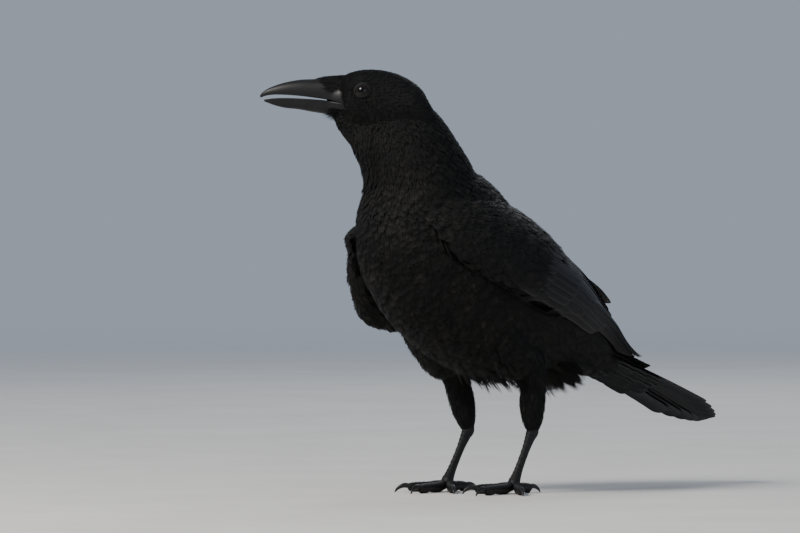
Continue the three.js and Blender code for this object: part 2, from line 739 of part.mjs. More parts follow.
// The side of a plane that its normal points to. The plane lies half a gap off the cut.
const keep = (made, normal, point) => made.trimByPlane(normal.toArray(), normal.dot(point) + GAP / 2);
const neckCut = [vec(-0.02, -0.42, 0.9).normalize(), vec(0, -58, 214)];
const headCut = [vec(-0.3, -0.42, 0.85).normalize(), headPoint(-9, -24, 0)];
const below = ([normal, point]) => [normal.clone().negate(), point];

const wholeBody = body(0);
const grownBody = body(GAP);
const hips = Object.values(LEGS).map((leg) => thigh(leg, GAP));
const locks = FLUFF.flatMap(fluff).map((made) => without(made, hips));
const belly = fused([keep(wholeBody, ...below(neckCut)), ...locks]);
const tailMade = tail();

place("torso", largest(belly), FINISH.plumage);
place("neck", largest(keep(keep(wholeBody, ...neckCut), ...below(headCut))), FINISH.plumage);
const face = fused([keep(wholeBody.add(skull()), ...headCut), ...SIDES.map(lids), ...bristles()]);
const sockets = [upperBill(GAP), lowerBill(GAP), ...SIDES.map((side) => eyeball(side, GAP))];
place("head", largest(without(face, sockets)), FINISH.plumage);
place("bill_upper", upperBill(), FINISH.horn);
place("bill_lower", lowerBill(), FINISH.horn);
place("eye_left", eyeball(LEFT), FINISH.eye);
place("eye_right", eyeball(RIGHT), FINISH.eye);
place("tail", largest(without(tailMade, [grownBody])), FINISH.flight);

for (const [name, leg] of Object.entries(LEGS)) {
  place(`wing_${name}`, largest(without(featheredWing(WINGS[name]), [grownBody])), FINISH.flight);
  place(`thigh_${name}`, largest(without(thigh(leg), [grownBody])), FINISH.plumage);
  place(`tarsus_${name}`, largest(without(tarsus(leg), [thigh(leg, GAP)])), FINISH.leg);
  const cutters = [tarsus(leg, GAP), FLOOR];
  for (const spec of TOES[name]) {
    const grownToe = toe(leg.foot, spec, GAP);
    place(`toe_${spec[0]}_${name}`, largest(without(toe(leg.foot, spec), cutters)), FINISH.leg);
    place(
      `claw_${spec[0]}_${name}`,
      largest(without(claw(leg.foot, spec), [grownToe, FLOOR])),
      FINISH.claw,
    );
    cutters.push(grownToe);
  }
}

// The origin is the middle of the bird's bounding box, on the floor.
const box = new THREE.Box3().setFromObject(bird);
const middle = box.getCenter(vec(0, 0, 0));
bird.position.set(-middle.x, -middle.y, -box.min.z);

const crow = new THREE.Group();
crow.add(bird);

export default crow;
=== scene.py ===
"""Looks of a life-size standing crow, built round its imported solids.

Shapes are worked out in millimetres in the bird's own frame, in which its rows of sections are given, and
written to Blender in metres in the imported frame. The bird faces -Y and its left side is +X.
"""

import math
from itertools import product

import bpy
import numpy as np
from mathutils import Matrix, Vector
from mathutils.bvhtree import BVHTree


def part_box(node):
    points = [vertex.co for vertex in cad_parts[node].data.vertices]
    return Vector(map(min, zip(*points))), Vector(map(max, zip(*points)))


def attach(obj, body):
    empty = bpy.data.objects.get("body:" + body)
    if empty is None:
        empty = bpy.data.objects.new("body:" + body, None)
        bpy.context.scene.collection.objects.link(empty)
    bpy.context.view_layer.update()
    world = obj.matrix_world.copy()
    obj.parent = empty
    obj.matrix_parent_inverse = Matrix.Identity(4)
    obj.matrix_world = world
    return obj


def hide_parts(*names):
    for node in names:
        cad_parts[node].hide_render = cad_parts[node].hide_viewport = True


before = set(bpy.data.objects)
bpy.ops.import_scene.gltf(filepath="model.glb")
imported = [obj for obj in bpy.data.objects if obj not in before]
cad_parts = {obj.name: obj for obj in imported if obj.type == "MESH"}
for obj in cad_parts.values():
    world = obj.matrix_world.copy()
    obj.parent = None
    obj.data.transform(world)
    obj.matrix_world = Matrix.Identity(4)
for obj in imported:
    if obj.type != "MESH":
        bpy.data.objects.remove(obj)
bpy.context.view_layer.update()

LEFT, RIGHT = 1, -1
SIDES = {"left": LEFT, "right": RIGHT}
MM = 0.001
rng = np.random.default_rng(20)

# ---------- driving dimensions, as in the solids ----------
GROUND = 5.0

HEAD_CENTRE = np.array([-6, -86.7, 278])
HEAD_TURN = 40.0  # degrees to the bird's right
EYE_FORWARD, EYE_UP, EYE_OUT = 9.9, 3.1, 14.3
EYEBALL_RADIUS = 6.2
LID_RADIUS = 4.9

BODY_POWER = (1.9, 2.1)
BODY_ROWS = [  # station, x, y, z, turn, wide, up, down
    [0, 0, 118, 92, 0, 8, 6, 6],
    [1, 0, 106, 97.5, 0, 18, 12, 12],
    [2, 0, 86, 109, 0, 31, 22, 23],
    [3, 0, 56, 126, 0, 43, 36, 45],
    [4, 0, 21, 143, 0, 49, 48, 62],
    [5, 0, -12, 158, 0, 51, 56, 62],
    [6, 0, -38, 178, 0, 49, 58, 62],
    [7, 0, -54, 201, 0, 42, 52, 57],
    [8, 0, -61, 223, 6, 36, 43, 37],
    [9, -2, -68, 243, 22, 32, 36, 32],
    [10, -4, -75, 259, 34, 26, 30, 32],
    [11, -5, -80, 271, 40, 18, 18, 24],
]
SKULL_ROWS = [  # forward, level, wide, up, down
    [-36, -12.5, 8, 5, 8],
    [-30, -10, 15, 10, 14],
    [-21, -5.5, 19.5, 16.4, 20],
    [-10, -3, 21.8, 21, 23],
    [1, -2, 22, 22.3, 23.5],
    [11, -1.5, 20.3, 21.6, 21.5],
    [20, -1, 17, 19, 18.5],
    [27, -1, 13.4, 16.5, 15.5],
    [32, -1, 10.5, 13.6, 12.5],
    [35, -1, 7, 9, 9],
]
BILL_POWER = (2.2, 2.2)
UPPER_BILL_ROWS = [
    [14, -5.6, 8.6, 16, 0.5],
    [24, -4, 8.8, 18, 0.5],
    [34, -1.9, 8.1, 15.1, 0.5],
    [44, -0.4, 7, 12.4, 0.5],
    [54, 0.8, 5.8, 10.6, 0.5],
    [64, 1.5, 4.4, 7.9, 0.5],
    [72, 1.5, 2.9, 5, 0.5],
    [77, 0.7, 1.6, 2.9, 0.5],
    [80, -0.6, 0.5, 1.2, 0.4],
]
LOWER_BILL_ROWS = [
    [14, -6.9, 8.2, 0.4, 7.5],
    [24, -5.4, 8.2, 0.4, 8],
    [34, -3.4, 7.2, 0.4, 8.8],
    [44, -2.4, 6, 0.4, 8.3],
    [54, -1.8, 4.9, 0.4, 7.1],
    [64, -1.5, 3.6, 0.4, 6.3],
    [72, -1.8, 2.2, 0.4, 4],
    [77.5, -2.6, 0.7, 0.4, 1],
]
LEGS = {
    "left": {"thigh": [27, 16, 112], "shin": [30, 22, 82], "heel": [27, 24.5, 47.8], "foot": [26, 8, 11.6]},
    "right": {
        "thigh": [-26, -4, 112], "shin": [-29, 4, 82], "heel": [-27, 12.5, 47.8], "foot": [-26, -8, 11.6],
    },
}
TOES = {  # name, turn to the bird's right, length, start to the left of the joint
    "left": [["inner", 24, 25, -3.4], ["middle", -13, 34, 0], ["outer", -56, 25, 3.6], ["hind", 168, 19, 0]],
    "right": [["inner", -54, 25, 3.4], ["middle", -15, 34, 0], ["outer", 27, 25, -3.6], ["hind", 176, 19, 0]],
}
TOE_RADIUS = 3.1

WING_SLOPE = math.radians(24)
WRAPS = {  # along, y, z, half width, half height
    "left": [
        [-20, -76, 193, 40, 30],
        [0, -60, 185, 51, 40],
        [37, -26, 170, 60, 48],
        [78, 11, 152.5, 60, 45.5],
        [130, 58, 131.5, 48, 34.5],
        [175, 96, 112, 32, 17.5],
        [196, 113, 100.5, 25, 10],
        [215, 129, 92, 19.5, 6],
        [235, 148, 85, 15, 5],
        [257, 169, 79, 10, 4],
    ],
    "right": [
        [-20, -92, 166, 41.5, 30],
        [0, -74, 162, 55.5, 45],
        [20, -56, 157, 64.5, 55],
        [40, -38, 153, 70.5, 60],
        [62, -16, 149, 71.5, 60],
        [90, 13, 145, 67, 55],
        [130, 54, 134, 53, 41],
        [175, 97, 116, 35, 23],
        [196, 115, 103, 27, 13],
        [215, 131, 93.5, 20.5, 8],
        [235, 150, 86, 15.5, 6],
        [257, 170, 79, 10.5, 5],
    ],
}
EDGES = {  # along, lower angle, upper angle
    "left": [[-20, 0, 14], [0, -22, 46], [37, -22, 66], [78, -24, 72], [130, -24, 74], [160, -18, 66]],
    "right": [
        [-20, -6, 64], [0, -34, 64], [20, -38, 64], [40, -39, 66],
        [62, -37, 70], [90, -33, 73], [130, -26, 74], [160, -18, 66],
    ],
}
LOOSE = {"left": (4, 3), "right": (17, 26)}  # how far the innermost feathers rise and reach back
LOOSE_SHARE = {"secondaries": (0, 0.45), "tertials": (0.6, 1)}  # the share of that at a tier's two ends
BEND = {"left": (0, 0), "right": (6, 12)}  # how far the bend lies in below, and reaches forward above
PRIMARY_STACK = {"left": 0.95, "right": 0.4}  # how much higher each primary lies than the one below it

TAIL_ROOT = np.array([4, 80, 108.5])
TAIL_SLOPE, TAIL_SWING, TAIL_ROLL = (math.radians(v) for v in (22.9, 3, 14))
TAIL_ARCH, TAIL_BOW = 0.002, 1.6
TAIL_LENGTH = 147.5
TAIL_SPREAD = {LEFT: 4.1, RIGHT: 3.1}  # how far apart the tips of the tail feathers lie


# ---------- small tools ----------
def unit(v):
    return v / np.maximum(np.linalg.norm(v, axis=-1, keepdims=True), 1e-9)


def mix(a, b, t):
    return a + (b - a) * t


def smooth_step(low, high, v):
    t = np.clip((v - low) / (high - low), 0, 1)
    return t * t * (3 - 2 * t)


def arrays(*values):
    """Numbers and arrays as float arrays of one shape."""
    return np.broadcast_arrays(*(np.asarray(v, float) for v in values))


def bell(v, middle, width):
    """1 at the middle, and less on both sides of it."""
    return np.exp(-(((v - middle) / width) ** 2))


def rise_of(angle):
    """How high round a section an angle lies: 1 at the top, -1 at the bottom."""
    return np.sin(np.radians(angle))


def left_of(turn):
    turn = np.radians(np.asarray(turn, float))
    return np.stack([np.cos(turn), -np.sin(turn), np.zeros_like(turn)], -1)


def ahead_of(turn):
    turn = np.radians(np.asarray(turn, float))
    return np.stack([-np.sin(turn), -np.cos(turn), np.zeros_like(turn)], -1)


HEAD_AHEAD, HEAD_LEFT = ahead_of(HEAD_TURN), left_of(HEAD_TURN)


def head_point(forward, up, out):
    forward, up, out = (np.asarray(v, float)[..., None] for v in (forward, up, out))
    return HEAD_CENTRE + HEAD_AHEAD * forward + HEAD_LEFT * out + np.array([0, 0, 1]) * up


def to_head(points):
    """Distances ahead of and above the head's centre."""
    off = points - HEAD_CENTRE
    return off @ HEAD_AHEAD, off[:, 2]


def head_rows(rows):
    return [[f, *head_point(f, level, 0), HEAD_TURN, *sizes] for f, level, *sizes in rows]


def track(rows):
    """A function that runs smoothly through rows of [station, value, value, ...]."""
    rows = np.asarray(rows, float)
    stations, values = rows[:, 0], rows[:, 1:]
    index = np.arange(len(stations))
    low, high = np.maximum(index - 1, 0), np.minimum(index + 1, len(stations) - 1)
    slopes = (values[high] - values[low]) / (stations[high] - stations[low])[:, None]

    def at(station):
        station = np.asarray(station, float)
        i = np.clip(np.searchsorted(stations, station) - 1, 0, len(stations) - 2)
        span = (stations[i + 1] - stations[i])[..., None]
        t = np.clip((station - stations[i])[..., None] / span, 0, 1)
        near = 1 + t * t * (2 * t - 3)
        leave, arrive = t * (1 - t) ** 2 * span, t * t * (t - 1) * span
        return values[i] * near + values[i + 1] * (1 - near) + slopes[i] * leave + slopes[i + 1] * arrive

    return at


def section(rows, power=(2, 2)):
    """Points of a lofted surface at a station and an angle up from the left side, grown by so much."""
    row = track(rows)
    step = 0.01

    def point(station, angle, grow=0.0):
        station, angle, grow = arrays(station, angle, grow)
        here = row(station)
        along = unit(row(station + step)[..., :3] - row(station - step)[..., :3])
        top = unit(np.cross(along, left_of(here[..., 3])))
        side = np.cross(top, along)
        across, rise = np.cos(np.radians(angle)), rise_of(angle)
        bend = 2 / np.where(rise > 0, power[0], power[1])
        wide = np.sign(across) * np.abs(across) ** bend * (here[..., 4] + grow)
        tall = np.where(rise > 0, here[..., 5], here[..., 6]) + grow
        high = np.sign(rise) * np.abs(rise) ** bend * tall
        return here[..., :3] + side * wide[..., None] + top * high[..., None]

    return point


body_point = section(BODY_ROWS, BODY_POWER)
upper_bill_point = section(head_rows(UPPER_BILL_ROWS), BILL_POWER)
lower_bill_point = section(head_rows(LOWER_BILL_ROWS), BILL_POWER)


def eye_centre(side):
    return head_point(EYE_FORWARD, EYE_UP, side * EYE_OUT)


def gaze(side):
    return unit(HEAD_LEFT * side + HEAD_AHEAD * 0.16)


def eye_front(side):
    return eye_centre(side) + gaze(side) * 4


EYE_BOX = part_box("eye_left")
SHIFT = np.array((EYE_BOX[0] + EYE_BOX[1]) / 2) / MM - eye_centre(LEFT)


# ---------- meshes ----------
def put(name, data):
    """A new object in the scene."""
    obj = bpy.data.objects.new(name, data)
    bpy.context.scene.collection.objects.link(obj)
    return obj


def enclosed(verts, faces):
    """Six times the volume that faces enclose, negative where they face inwards."""
    corners = [verts[faces[:, k]] - verts[0] for k in range(faces.shape[1])]
    return sum((corners[0] * np.cross(corners[k], corners[k + 1])).sum() for k in range(1, len(corners) - 1))


class Shape:
    """Vertices and faces gathered from several parts, with values that the materials read."""

    def __init__(self):
        self.count = 0
        self.verts, self.uv = [], []
        self.faces = {4: [], 3: []}
        self.values = {}

    def add(self, verts, *faces, uv=None, **values):
        n = len(verts)
        turned_in = sum(enclosed(verts, f) for f in faces) < 0
        for f in faces:
            self.faces[f.shape[1]].append((f[:, ::-1] if turned_in else f) + self.count)
        for name in self.values | values:
            stored = self.values.setdefault(name, [np.zeros(self.count)])
            stored.append(np.broadcast_to(np.asarray(values.get(name, 0.0), float), (n,)))
        self.verts.append(verts)
        self.uv.append(np.zeros((n, 2)) if uv is None else uv)
        self.count += n

    def mesh(self, name):
        verts = (np.concatenate(self.verts) + SHIFT) * MM
        faces = [np.concatenate(f) for f in self.faces.values() if f]
        loops = np.concatenate([f.ravel() for f in faces]).astype(np.int32)
        sizes = np.concatenate([np.full(len(f), f.shape[1]) for f in faces])
        mesh = bpy.data.meshes.new(name)
        mesh.vertices.add(len(verts))
        mesh.vertices.foreach_set("co", verts.astype(np.float32).ravel())
        mesh.loops.add(len(loops))
        mesh.loops.foreach_set("vertex_index", loops)
        mesh.polygons.add(len(sizes))
        mesh.polygons.foreach_set("loop_start", (np.cumsum(sizes) - sizes).astype(np.int32))
        mesh.update(calc_edges=True)
        for key, parts in self.values.items():
            attribute = mesh.attributes.new(key, "FLOAT", "POINT")
            attribute.data.foreach_set("value", np.concatenate(parts).astype(np.float32))
        uv = np.concatenate(self.uv)[loops]
        mesh.uv_layers.new(name="OFBake").data.foreach_set("uv", uv.astype(np.float32).ravel())
        return mesh

    def press(self):
        """Flatten what reaches below the ground."""
        for part in self.verts:
            part[:, 2] = np.maximum(part[:, 2], GROUND)

    def piece(self, name, material, slot, replaces=(), crease=55):
        obj = put(name, self.mesh(name))
        obj.data.shade_smooth()
        obj.data.set_sharp_from_angle(angle=math.radians(crease))
        declare(obj, material, replaces)
        return obj


def declare(obj, material, replaces):
    """Give a piece its material, its body and the solids that it stands for."""
    obj.data.materials.append(material)
    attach(obj, "root")
    if replaces:
        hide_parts(*replaces)


def grid_faces(rows, columns):
    """Quads over a grid of rows of points, whose last column joins the first."""
    i, j = np.arange(rows - 1)[:, None] * columns, np.arange(columns)
    a, b = (i + j).ravel(), (i + (j + 1) % columns).ravel()
    return np.stack([a, b, b + columns, a + columns], -1)


def end_faces(rows, columns):
    """Triangles from a grid's first and last rows to two poles that follow its points."""
    j = np.arange(columns)
    k = (j + 1) % columns
    base, pole = (rows - 1) * columns, rows * columns
    first = np.stack([np.full(columns, pole), k, j], -1)
    last = np.stack([np.full(columns, pole + 1), base + j, base + k], -1)
    return np.concatenate([first, last])


def add_tube(shape, rings, first, last, uv=None, **values):
    """A closed skin over rings of points, from pole to pole."""
    rows, sides = rings.shape[:2]
    if uv is None:
        u = np.repeat(np.linspace(0.02, 0.98, rows), sides)
        v = np.tile(np.linspace(0.02, 0.98, sides), rows)
        uv = np.concatenate([np.stack([u, v], -1), [[0.01, 0.5], [0.99, 0.5]]])
    verts = np.concatenate([rings.reshape(-1, 3), [first, last]])
    shape.add(verts, grid_faces(rows, sides), end_faces(rows, sides), uv=uv, **values)


def poles(rings, bulge=0.35):
    """Points a little beyond the first and the last ring."""
    ends = []
    for ring, inner in ((rings[0], rings[1]), (rings[-1], rings[-2])):
        middle = ring.mean(0)
        out = unit(middle - inner.mean(0))
        ends.append(middle + out * bulge * np.linalg.norm(ring[0] - middle))
    return ends


def add_loft(shape, rows, sides, stations, grow=0.0, power=(2, 2), relief=None, bulge=0.35):
    """A closed skin through rows of sections, grown by grow and by the relief on it."""
    point = section(rows, power)
    angles = (np.arange(sides) + 0.5) * 360 / sides
    stations = np.asarray(stations, float)
    amount = np.broadcast_to(np.asarray(grow, float), stations.shape)[:, None] + np.zeros(sides)
    if relief is not None:
        amount = amount + relief(stations[:, None], angles[None, :])
    rings = point(stations[:, None], angles[None, :], amount)
    add_tube(shape, rings, *poles(rings, bulge))


def add_strap(shape, rings):
    """A closed strap, whose rings run out along its top and back along its bottom."""
    rows, sides = rings.shape[:2]
    j = np.arange(sides // 2 - 1)
    far, near = sides - 2 - j, sides - 1 - j
    base = (rows - 1) * sides
    ends = [np.stack([j, near, far, j + 1], -1), base + np.stack([j, j + 1, far, near], -1)]
    shape.add(rings.reshape(-1, 3), np.concatenate([grid_faces(rows, sides), *ends]))


def add_hoop(shape, ring):
    """A closed hoop over a grid of points that runs round both ways."""
    rows, columns = ring.shape[:2]
    faces = grid_faces(rows + 1, columns) % (rows * columns)
    shape.add(ring.reshape(-1, 3), faces, uv=np.full((rows * columns, 2), 0.5))


# ---------- feathers ----------
PATCH = 0.003  # how wide a small feather's patch on the OFBake map is
VANE_PATCH = 0.018  # and a large one's
ROUND = [[0, 0], [0.14, 0.5], [0.4, 0.9], [0.66, 1], [0.84, 0.86], [0.95, 0.5], [1, 0]]
POINTED = [[0, 0], [0.15, 0.65], [0.45, 1], [0.78, 0.62], [1, 0]]
STRAND = [[0, 0], [0.3, 1], [0.7, 0.7], [1, 0]]


class Paths:
    """Feathers as strokes: points, normals and sides at even shares of each one's length."""

    def __init__(self, points, normals):
        self.points, self.normals = points, normals
        self.sides = unit(np.cross(normals, unit(np.gradient(points, axis=1))))

    def at(self, share, across, height):
        """Points at a share of the length, so far to the side and so high, each of shape (n, m)."""
        steps = self.points.shape[1] - 1
        place = share * steps
        i = np.clip(np.floor(place), 0, steps - 1).astype(int)
        t = (place - i)[..., None]
        n = np.arange(len(self.points))[:, None]

        def between(values):
            return values[n, i] * (1 - t) + values[n, i + 1] * t

        side, normal = unit(between(self.sides)), unit(between(self.normals))
        return between(self.points) + side * across[..., None] + normal * height[..., None]


def repeat_faces(faces, count, size):
    return (faces[None] + (np.arange(count) * size)[:, None, None]).reshape(-1, faces.shape[-1])


def blade_triangles(profile):
    return 8 * (len(profile) - 2)


def add_blades(shape, paths, start, end, half, height, thick, profile, tone, soft, uv, sway=0.0):
    """Blades laid along paths. start and end are (share, across), half the half width, and height the
    lift at start and at end, each of shape (n,) or a number. profile is rows of [share, fullness]."""
    n = len(paths.points)
    shares, full = np.array(profile).T[:, None]
    numbers = (*start, *end, half, *height, thick, sway)
    s0, a0, s1, a1, wide, h0, h1, deep, bend = (
        np.broadcast_to(np.asarray(v, float), (n,))[:, None] for v in numbers
    )
    share = mix(s0, s1, shares)
    middle = mix(a0, a1, shares) + bend * np.sin(np.pi * shares)
    lift = mix(h0, h1, shares**0.85)
    spread = wide * full
    drop = spread * 0.12
    body = deep * 0.5 * np.minimum(1, full + 0.3) * (1 - 0.5 * shares)
    sides = [(spread, -drop), (0, body), (-spread, -drop), (0, -body - drop)]
    rings = np.stack([paths.at(share, middle + out, lift + up)[:, 1:-1] for out, up in sides], 2)
    core = paths.at(share, middle, lift)
    count = rings.shape[1]
    verts = np.concatenate([rings.reshape(n, -1, 3), core[:, :1], core[:, -1:]], 1)
    size = verts.shape[1]
    along = np.concatenate([np.repeat(shares[0, 1:-1], 4), [0, 1]])
    across = np.concatenate([np.tile([1.0, 0, -1.0, 0], count), [0, 0]])
    patch = np.stack([along - 0.5, across / 2], -1) * PATCH
    shape.add(
        verts.reshape(-1, 3),
        repeat_faces(grid_faces(count, 4), n, size),
        repeat_faces(end_faces(count, 4), n, size),
        uv=(uv[:, None] + patch[None]).reshape(-1, 2),
        along=np.tile(along, n),
        across=np.tile(across, n),
        tone=np.repeat(np.broadcast_to(tone, (n,)), size),
        soft=np.repeat(np.broadcast_to(soft, (n,)), size),
    )


# ---------- the skin under the coat ----------
BODY_DEPTH = track([[0, 2], [2, 3], [4, 3.4], [6, 4], [8, 4], [10, 3.4], [11, 3.4]])
SKULL_DEPTH = track([
    [-36, 2.2], [-20, 2.8], [-10, 3.2], [11, 2.7], [18, 2.5], [24, 3.8], [28, 5.4], [32, 6], [35, 5],
])
THIGH_DEPTH = track([[0, 3], [1, 3.6], [2, 3.4], [3, 1], [4, 0.4], [5, 0.8]])
THROAT_ROWS = [  # station, forward and level in the head, wide, up, down
    [0, 27.5, -10, 5.5, 6, 7],
    [1, 18, -19.5, 8.5, 8, 9],
    [2, 8, -28, 10.5, 9, 8],
    [3, 1, -42, 12, 9, 8],
]
FLANK_ROWS = [  # station, inward, back and up from the top of the thigh, radius
    [0, 12, -29, 22, 17.5],
    [1, 2, -19, 2, 15.5],
    [2, -1, -3, -16, 12],
]


def body_relief(station, angle):
    """Less flesh under the deep feathers of the upper breast, and more at the nape and the mantle."""
    rise = rise_of(angle)
    breast = smooth_step(0.2, 0.9, -rise) * bell(station, 7.4, 0.8)
    nape = smooth_step(0.2, 0.9, rise) * bell(station, 9.3, 1.1)
    mantle = smooth_step(0.2, 0.9, rise) * bell(station, 7.2, 0.9)
    return 0.8 * nape + 2 * mantle - 4 * breast


def skull_relief(station, angle):
    """Fuller sides round the eyes."""
    return 0.9 * np.cos(np.radians(angle)) ** 4 * bell(station, 11, 8)


def throat_rows():
    return [[s, *head_point(f, level, 0), HEAD_TURN, *sizes] for s, f, level, *sizes in THROAT_ROWS]


def flank_rows(leg, side):
    x, y, z = leg["thigh"]
    return [[s, x - side * inward, y + back, z + up, 0, r, r, r] for s, inward, back, up, r in FLANK_ROWS]


def between(a, b, share):
    return [mix(x, y, share) for x, y in zip(a, b)]


def thigh_rows(leg):
    top, shin, heel = leg["thigh"], leg["shin"], leg["heel"]
    return [
        [0, *top, 0, 15, 18, 17],
        [1, *between(top, shin, 0.55), 0, 13, 15, 14.5],
        [2, *shin, 0, 10, 11.5, 11],
        [3, *between(shin, heel, 0.4), 0, 7.8, 9.2, 8.8],
        [4, *between(shin, heel, 0.75), 0, 5.6, 6.8, 6.4],
        [5, *between(shin, heel, 0.96), 0, 4.2, 5, 4.7],
    ]


def make_flesh():
    """The parts of the body, inside the solids by the coat's depth."""
    shape = Shape()
    stations = np.linspace(0, 11, 89)
    add_loft(shape, BODY_ROWS, 72, stations, -BODY_DEPTH(stations)[:, 0], BODY_POWER, body_relief)
    stations = np.linspace(-36, 35, 48)
    add_loft(shape, head_rows(SKULL_ROWS), 60, stations, -SKULL_DEPTH(stations)[:, 0], relief=skull_relief)
    add_loft(shape, throat_rows(), 32, np.linspace(0, 3, 24), bulge=0.8)
    for name, leg in LEGS.items():
        stations = np.linspace(0, 5, 40)
        add_loft(shape, thigh_rows(leg), 32, stations, -THIGH_DEPTH(stations)[:, 0])
        add_loft(shape, flank_rows(leg, SIDES[name]), 32, np.linspace(0, 2, 20), bulge=0.8)
    return put("rough", shape.mesh("rough"))


def make_skin():
    """The flesh as one closed skin."""
    rough = make_flesh()
    remesh = rough.modifiers.new("remesh", "REMESH")
    remesh.mode = "VOXEL"
    remesh.voxel_size = 2 * MM
    blur = rough.modifiers.new("smooth", "SMOOTH")
    blur.factor, blur.iterations = 0.5, 6
    bpy.context.view_layer.update()
    mesh = bpy.data.meshes.new_from_object(rough.evaluated_get(bpy.context.evaluated_depsgraph_get()))
    bpy.data.objects.remove(rough)
    mesh.name = "skin"
    mesh.shade_smooth()
    skin = put("skin", mesh)
    unwrap(skin)
    declare(skin, SKIN, ["torso", "neck", "head", "thigh_left", "thigh_right"])
    return skin


def unwrap(obj):
    """Give a piece a map of its own shape."""
    layers = obj.data.uv_layers
    while layers:
        layers.remove(layers[0])
    layers.new(name="OFBake")
    bpy.context.view_layer.objects.active = obj
    obj.select_set(True)
    bpy.ops.object.mode_set(mode="EDIT")
    bpy.ops.mesh.select_all(action="SELECT")
    bpy.ops.uv.smart_project(angle_limit=math.radians(66), island_margin=0.004)
    bpy.ops.object.mode_set(mode="OBJECT")
    obj.select_set(False)


def read(items, name, width, kind=np.float32):
    """The values of a mesh's items, a row for each."""
    values = np.zeros(len(items) * width, kind)
    items.foreach_get(name, values)
    return values.reshape(-1, width)


class Surface:
    """A piece's triangles in the bird's frame, with quick ways to sample and to find places on it."""

    def __init__(self, obj):
        mesh = obj.data
        mesh.calc_loop_triangles()
        self.verts = read(mesh.vertices, "co", 3).astype(float) / MM - SHIFT
        self.vert_normals = read(mesh.vertices, "normal", 3).astype(float)
        self.tris = read(mesh.loop_triangles, "vertices", 3, np.int32)
        loops = read(mesh.loop_triangles, "loops", 3, np.int32)
        self.uv = read(mesh.uv_layers["OFBake"].data, "uv", 2)[loops]
        self.corners = self.verts[self.tris]
        self.tri_normals = unit(self.vert_normals[self.tris].mean(1))
        self.tree = BVHTree.FromPolygons(self.verts.tolist(), self.tris.tolist())

    def sample(self, count, density):
        """Random places: points, normals and map positions, as dense on each triangle as density says."""
        a, b, c = (self.corners[:, k] for k in range(3))
        share = np.linalg.norm(np.cross(b - a, c - a), axis=1) * density
        chosen = rng.choice(len(share), count, p=share / share.sum())
        u, v = rng.random(count), rng.random(count)
        flip = u + v > 1
        u[flip], v[flip] = 1 - u[flip], 1 - v[flip]
        weights = np.stack([1 - u - v, u, v], -1)[..., None]
        points = (self.corners[chosen] * weights).sum(1)
        normals = unit((self.vert_normals[self.tris[chosen]] * weights).sum(1))
        return points, normals, (self.uv[chosen] * weights).sum(1)

    def nearest(self, points):
        """The nearest places on the surface, and their normals."""
        found, normals = np.array(points), np.zeros_like(points)
        for i, p in enumerate(points.tolist()):
            place, _, index, _ = self.tree.find_nearest(p)
            found[i] = place
            normals[i] = self.tri_normals[index]
        return found, normals

    def map_at(self, points):
        """Places on the map of the triangles nearest to points."""
        return np.array([self.uv[self.tree.find_nearest(p)[2]].mean(0) for p in points.tolist()])


def cast(tree, points, ways, reach):
    """How far along its way from each point a surface is met, infinite where it isn't within reach."""
    met = [tree.ray_cast(p, way, reach) for p, way in zip(points.tolist(), ways.tolist())]
    return np.array([np.inf if hit is None else far for hit, _, _, far in met])


# ---------- the lie of the coat ----------
# What the coat is like along each axis: length, half width, spacing, lift at the tip, softness of its edge.
BODY_COAT = track([
    [0, 26, 4.2, 3.5, 2.6, 0.5],
    [2, 22, 4.2, 3.4, 3.0, 0.6],
    [4, 18, 4.0, 3.1, 3.4, 0.8],
    [6, 15, 3.5, 2.8, 3.2, 0.8],
    [7.5, 13, 2.5, 2.25, 2.6, 0.7],
    [9, 11, 1.45, 1.6, 1.8, 0.5],
    [10, 9, 1.1, 1.35, 1.5, 0.4],
    [11, 7.5, 0.8, 1.1, 1.2, 0.3],
])
SKULL_COAT = track([
    [-36, 7.5, 0.8, 1.2, 1.3, 0.3],
    [-20, 6.5, 0.64, 1.05, 1.1, 0.3],
    [0, 5, 0.5, 0.9, 0.9, 0.2],
    [20, 4, 0.42, 0.8, 0.8, 0.2],
    [35, 3.2, 0.38, 0.75, 0.8, 0.1],
])
THIGH_COAT = track([
    [0, 15, 3.0, 2.8, 2.6, 0.8],
    [2, 12, 1.9, 2.0, 1.9, 0.6],
    [3, 10, 1.5, 1.7, 1.9, 0.5],
    [4, 8, 1.1, 1.4, 1.7, 0.3],
    [5, 5, 0.8, 1.1, 1.0, 0.2],
])
BODY, HEAD, THIGH = range(3)


def coat_axis(rows, stations, coat, region, backward, sink=0.0):
    """Points along an axis, the coat's way at each, the body's width, what the coat is like, the region."""
    row = track(rows)
    here = row(stations)
    tangent = unit(row(stations + 0.01)[:, :3] - row(stations - 0.01)[:, :3])
    way = unit(tangent * backward + np.array([0, 0, sink]))
    return here[:, :3], way, here[:, 4:7].mean(1), coat(stations), np.full(len(stations), region)


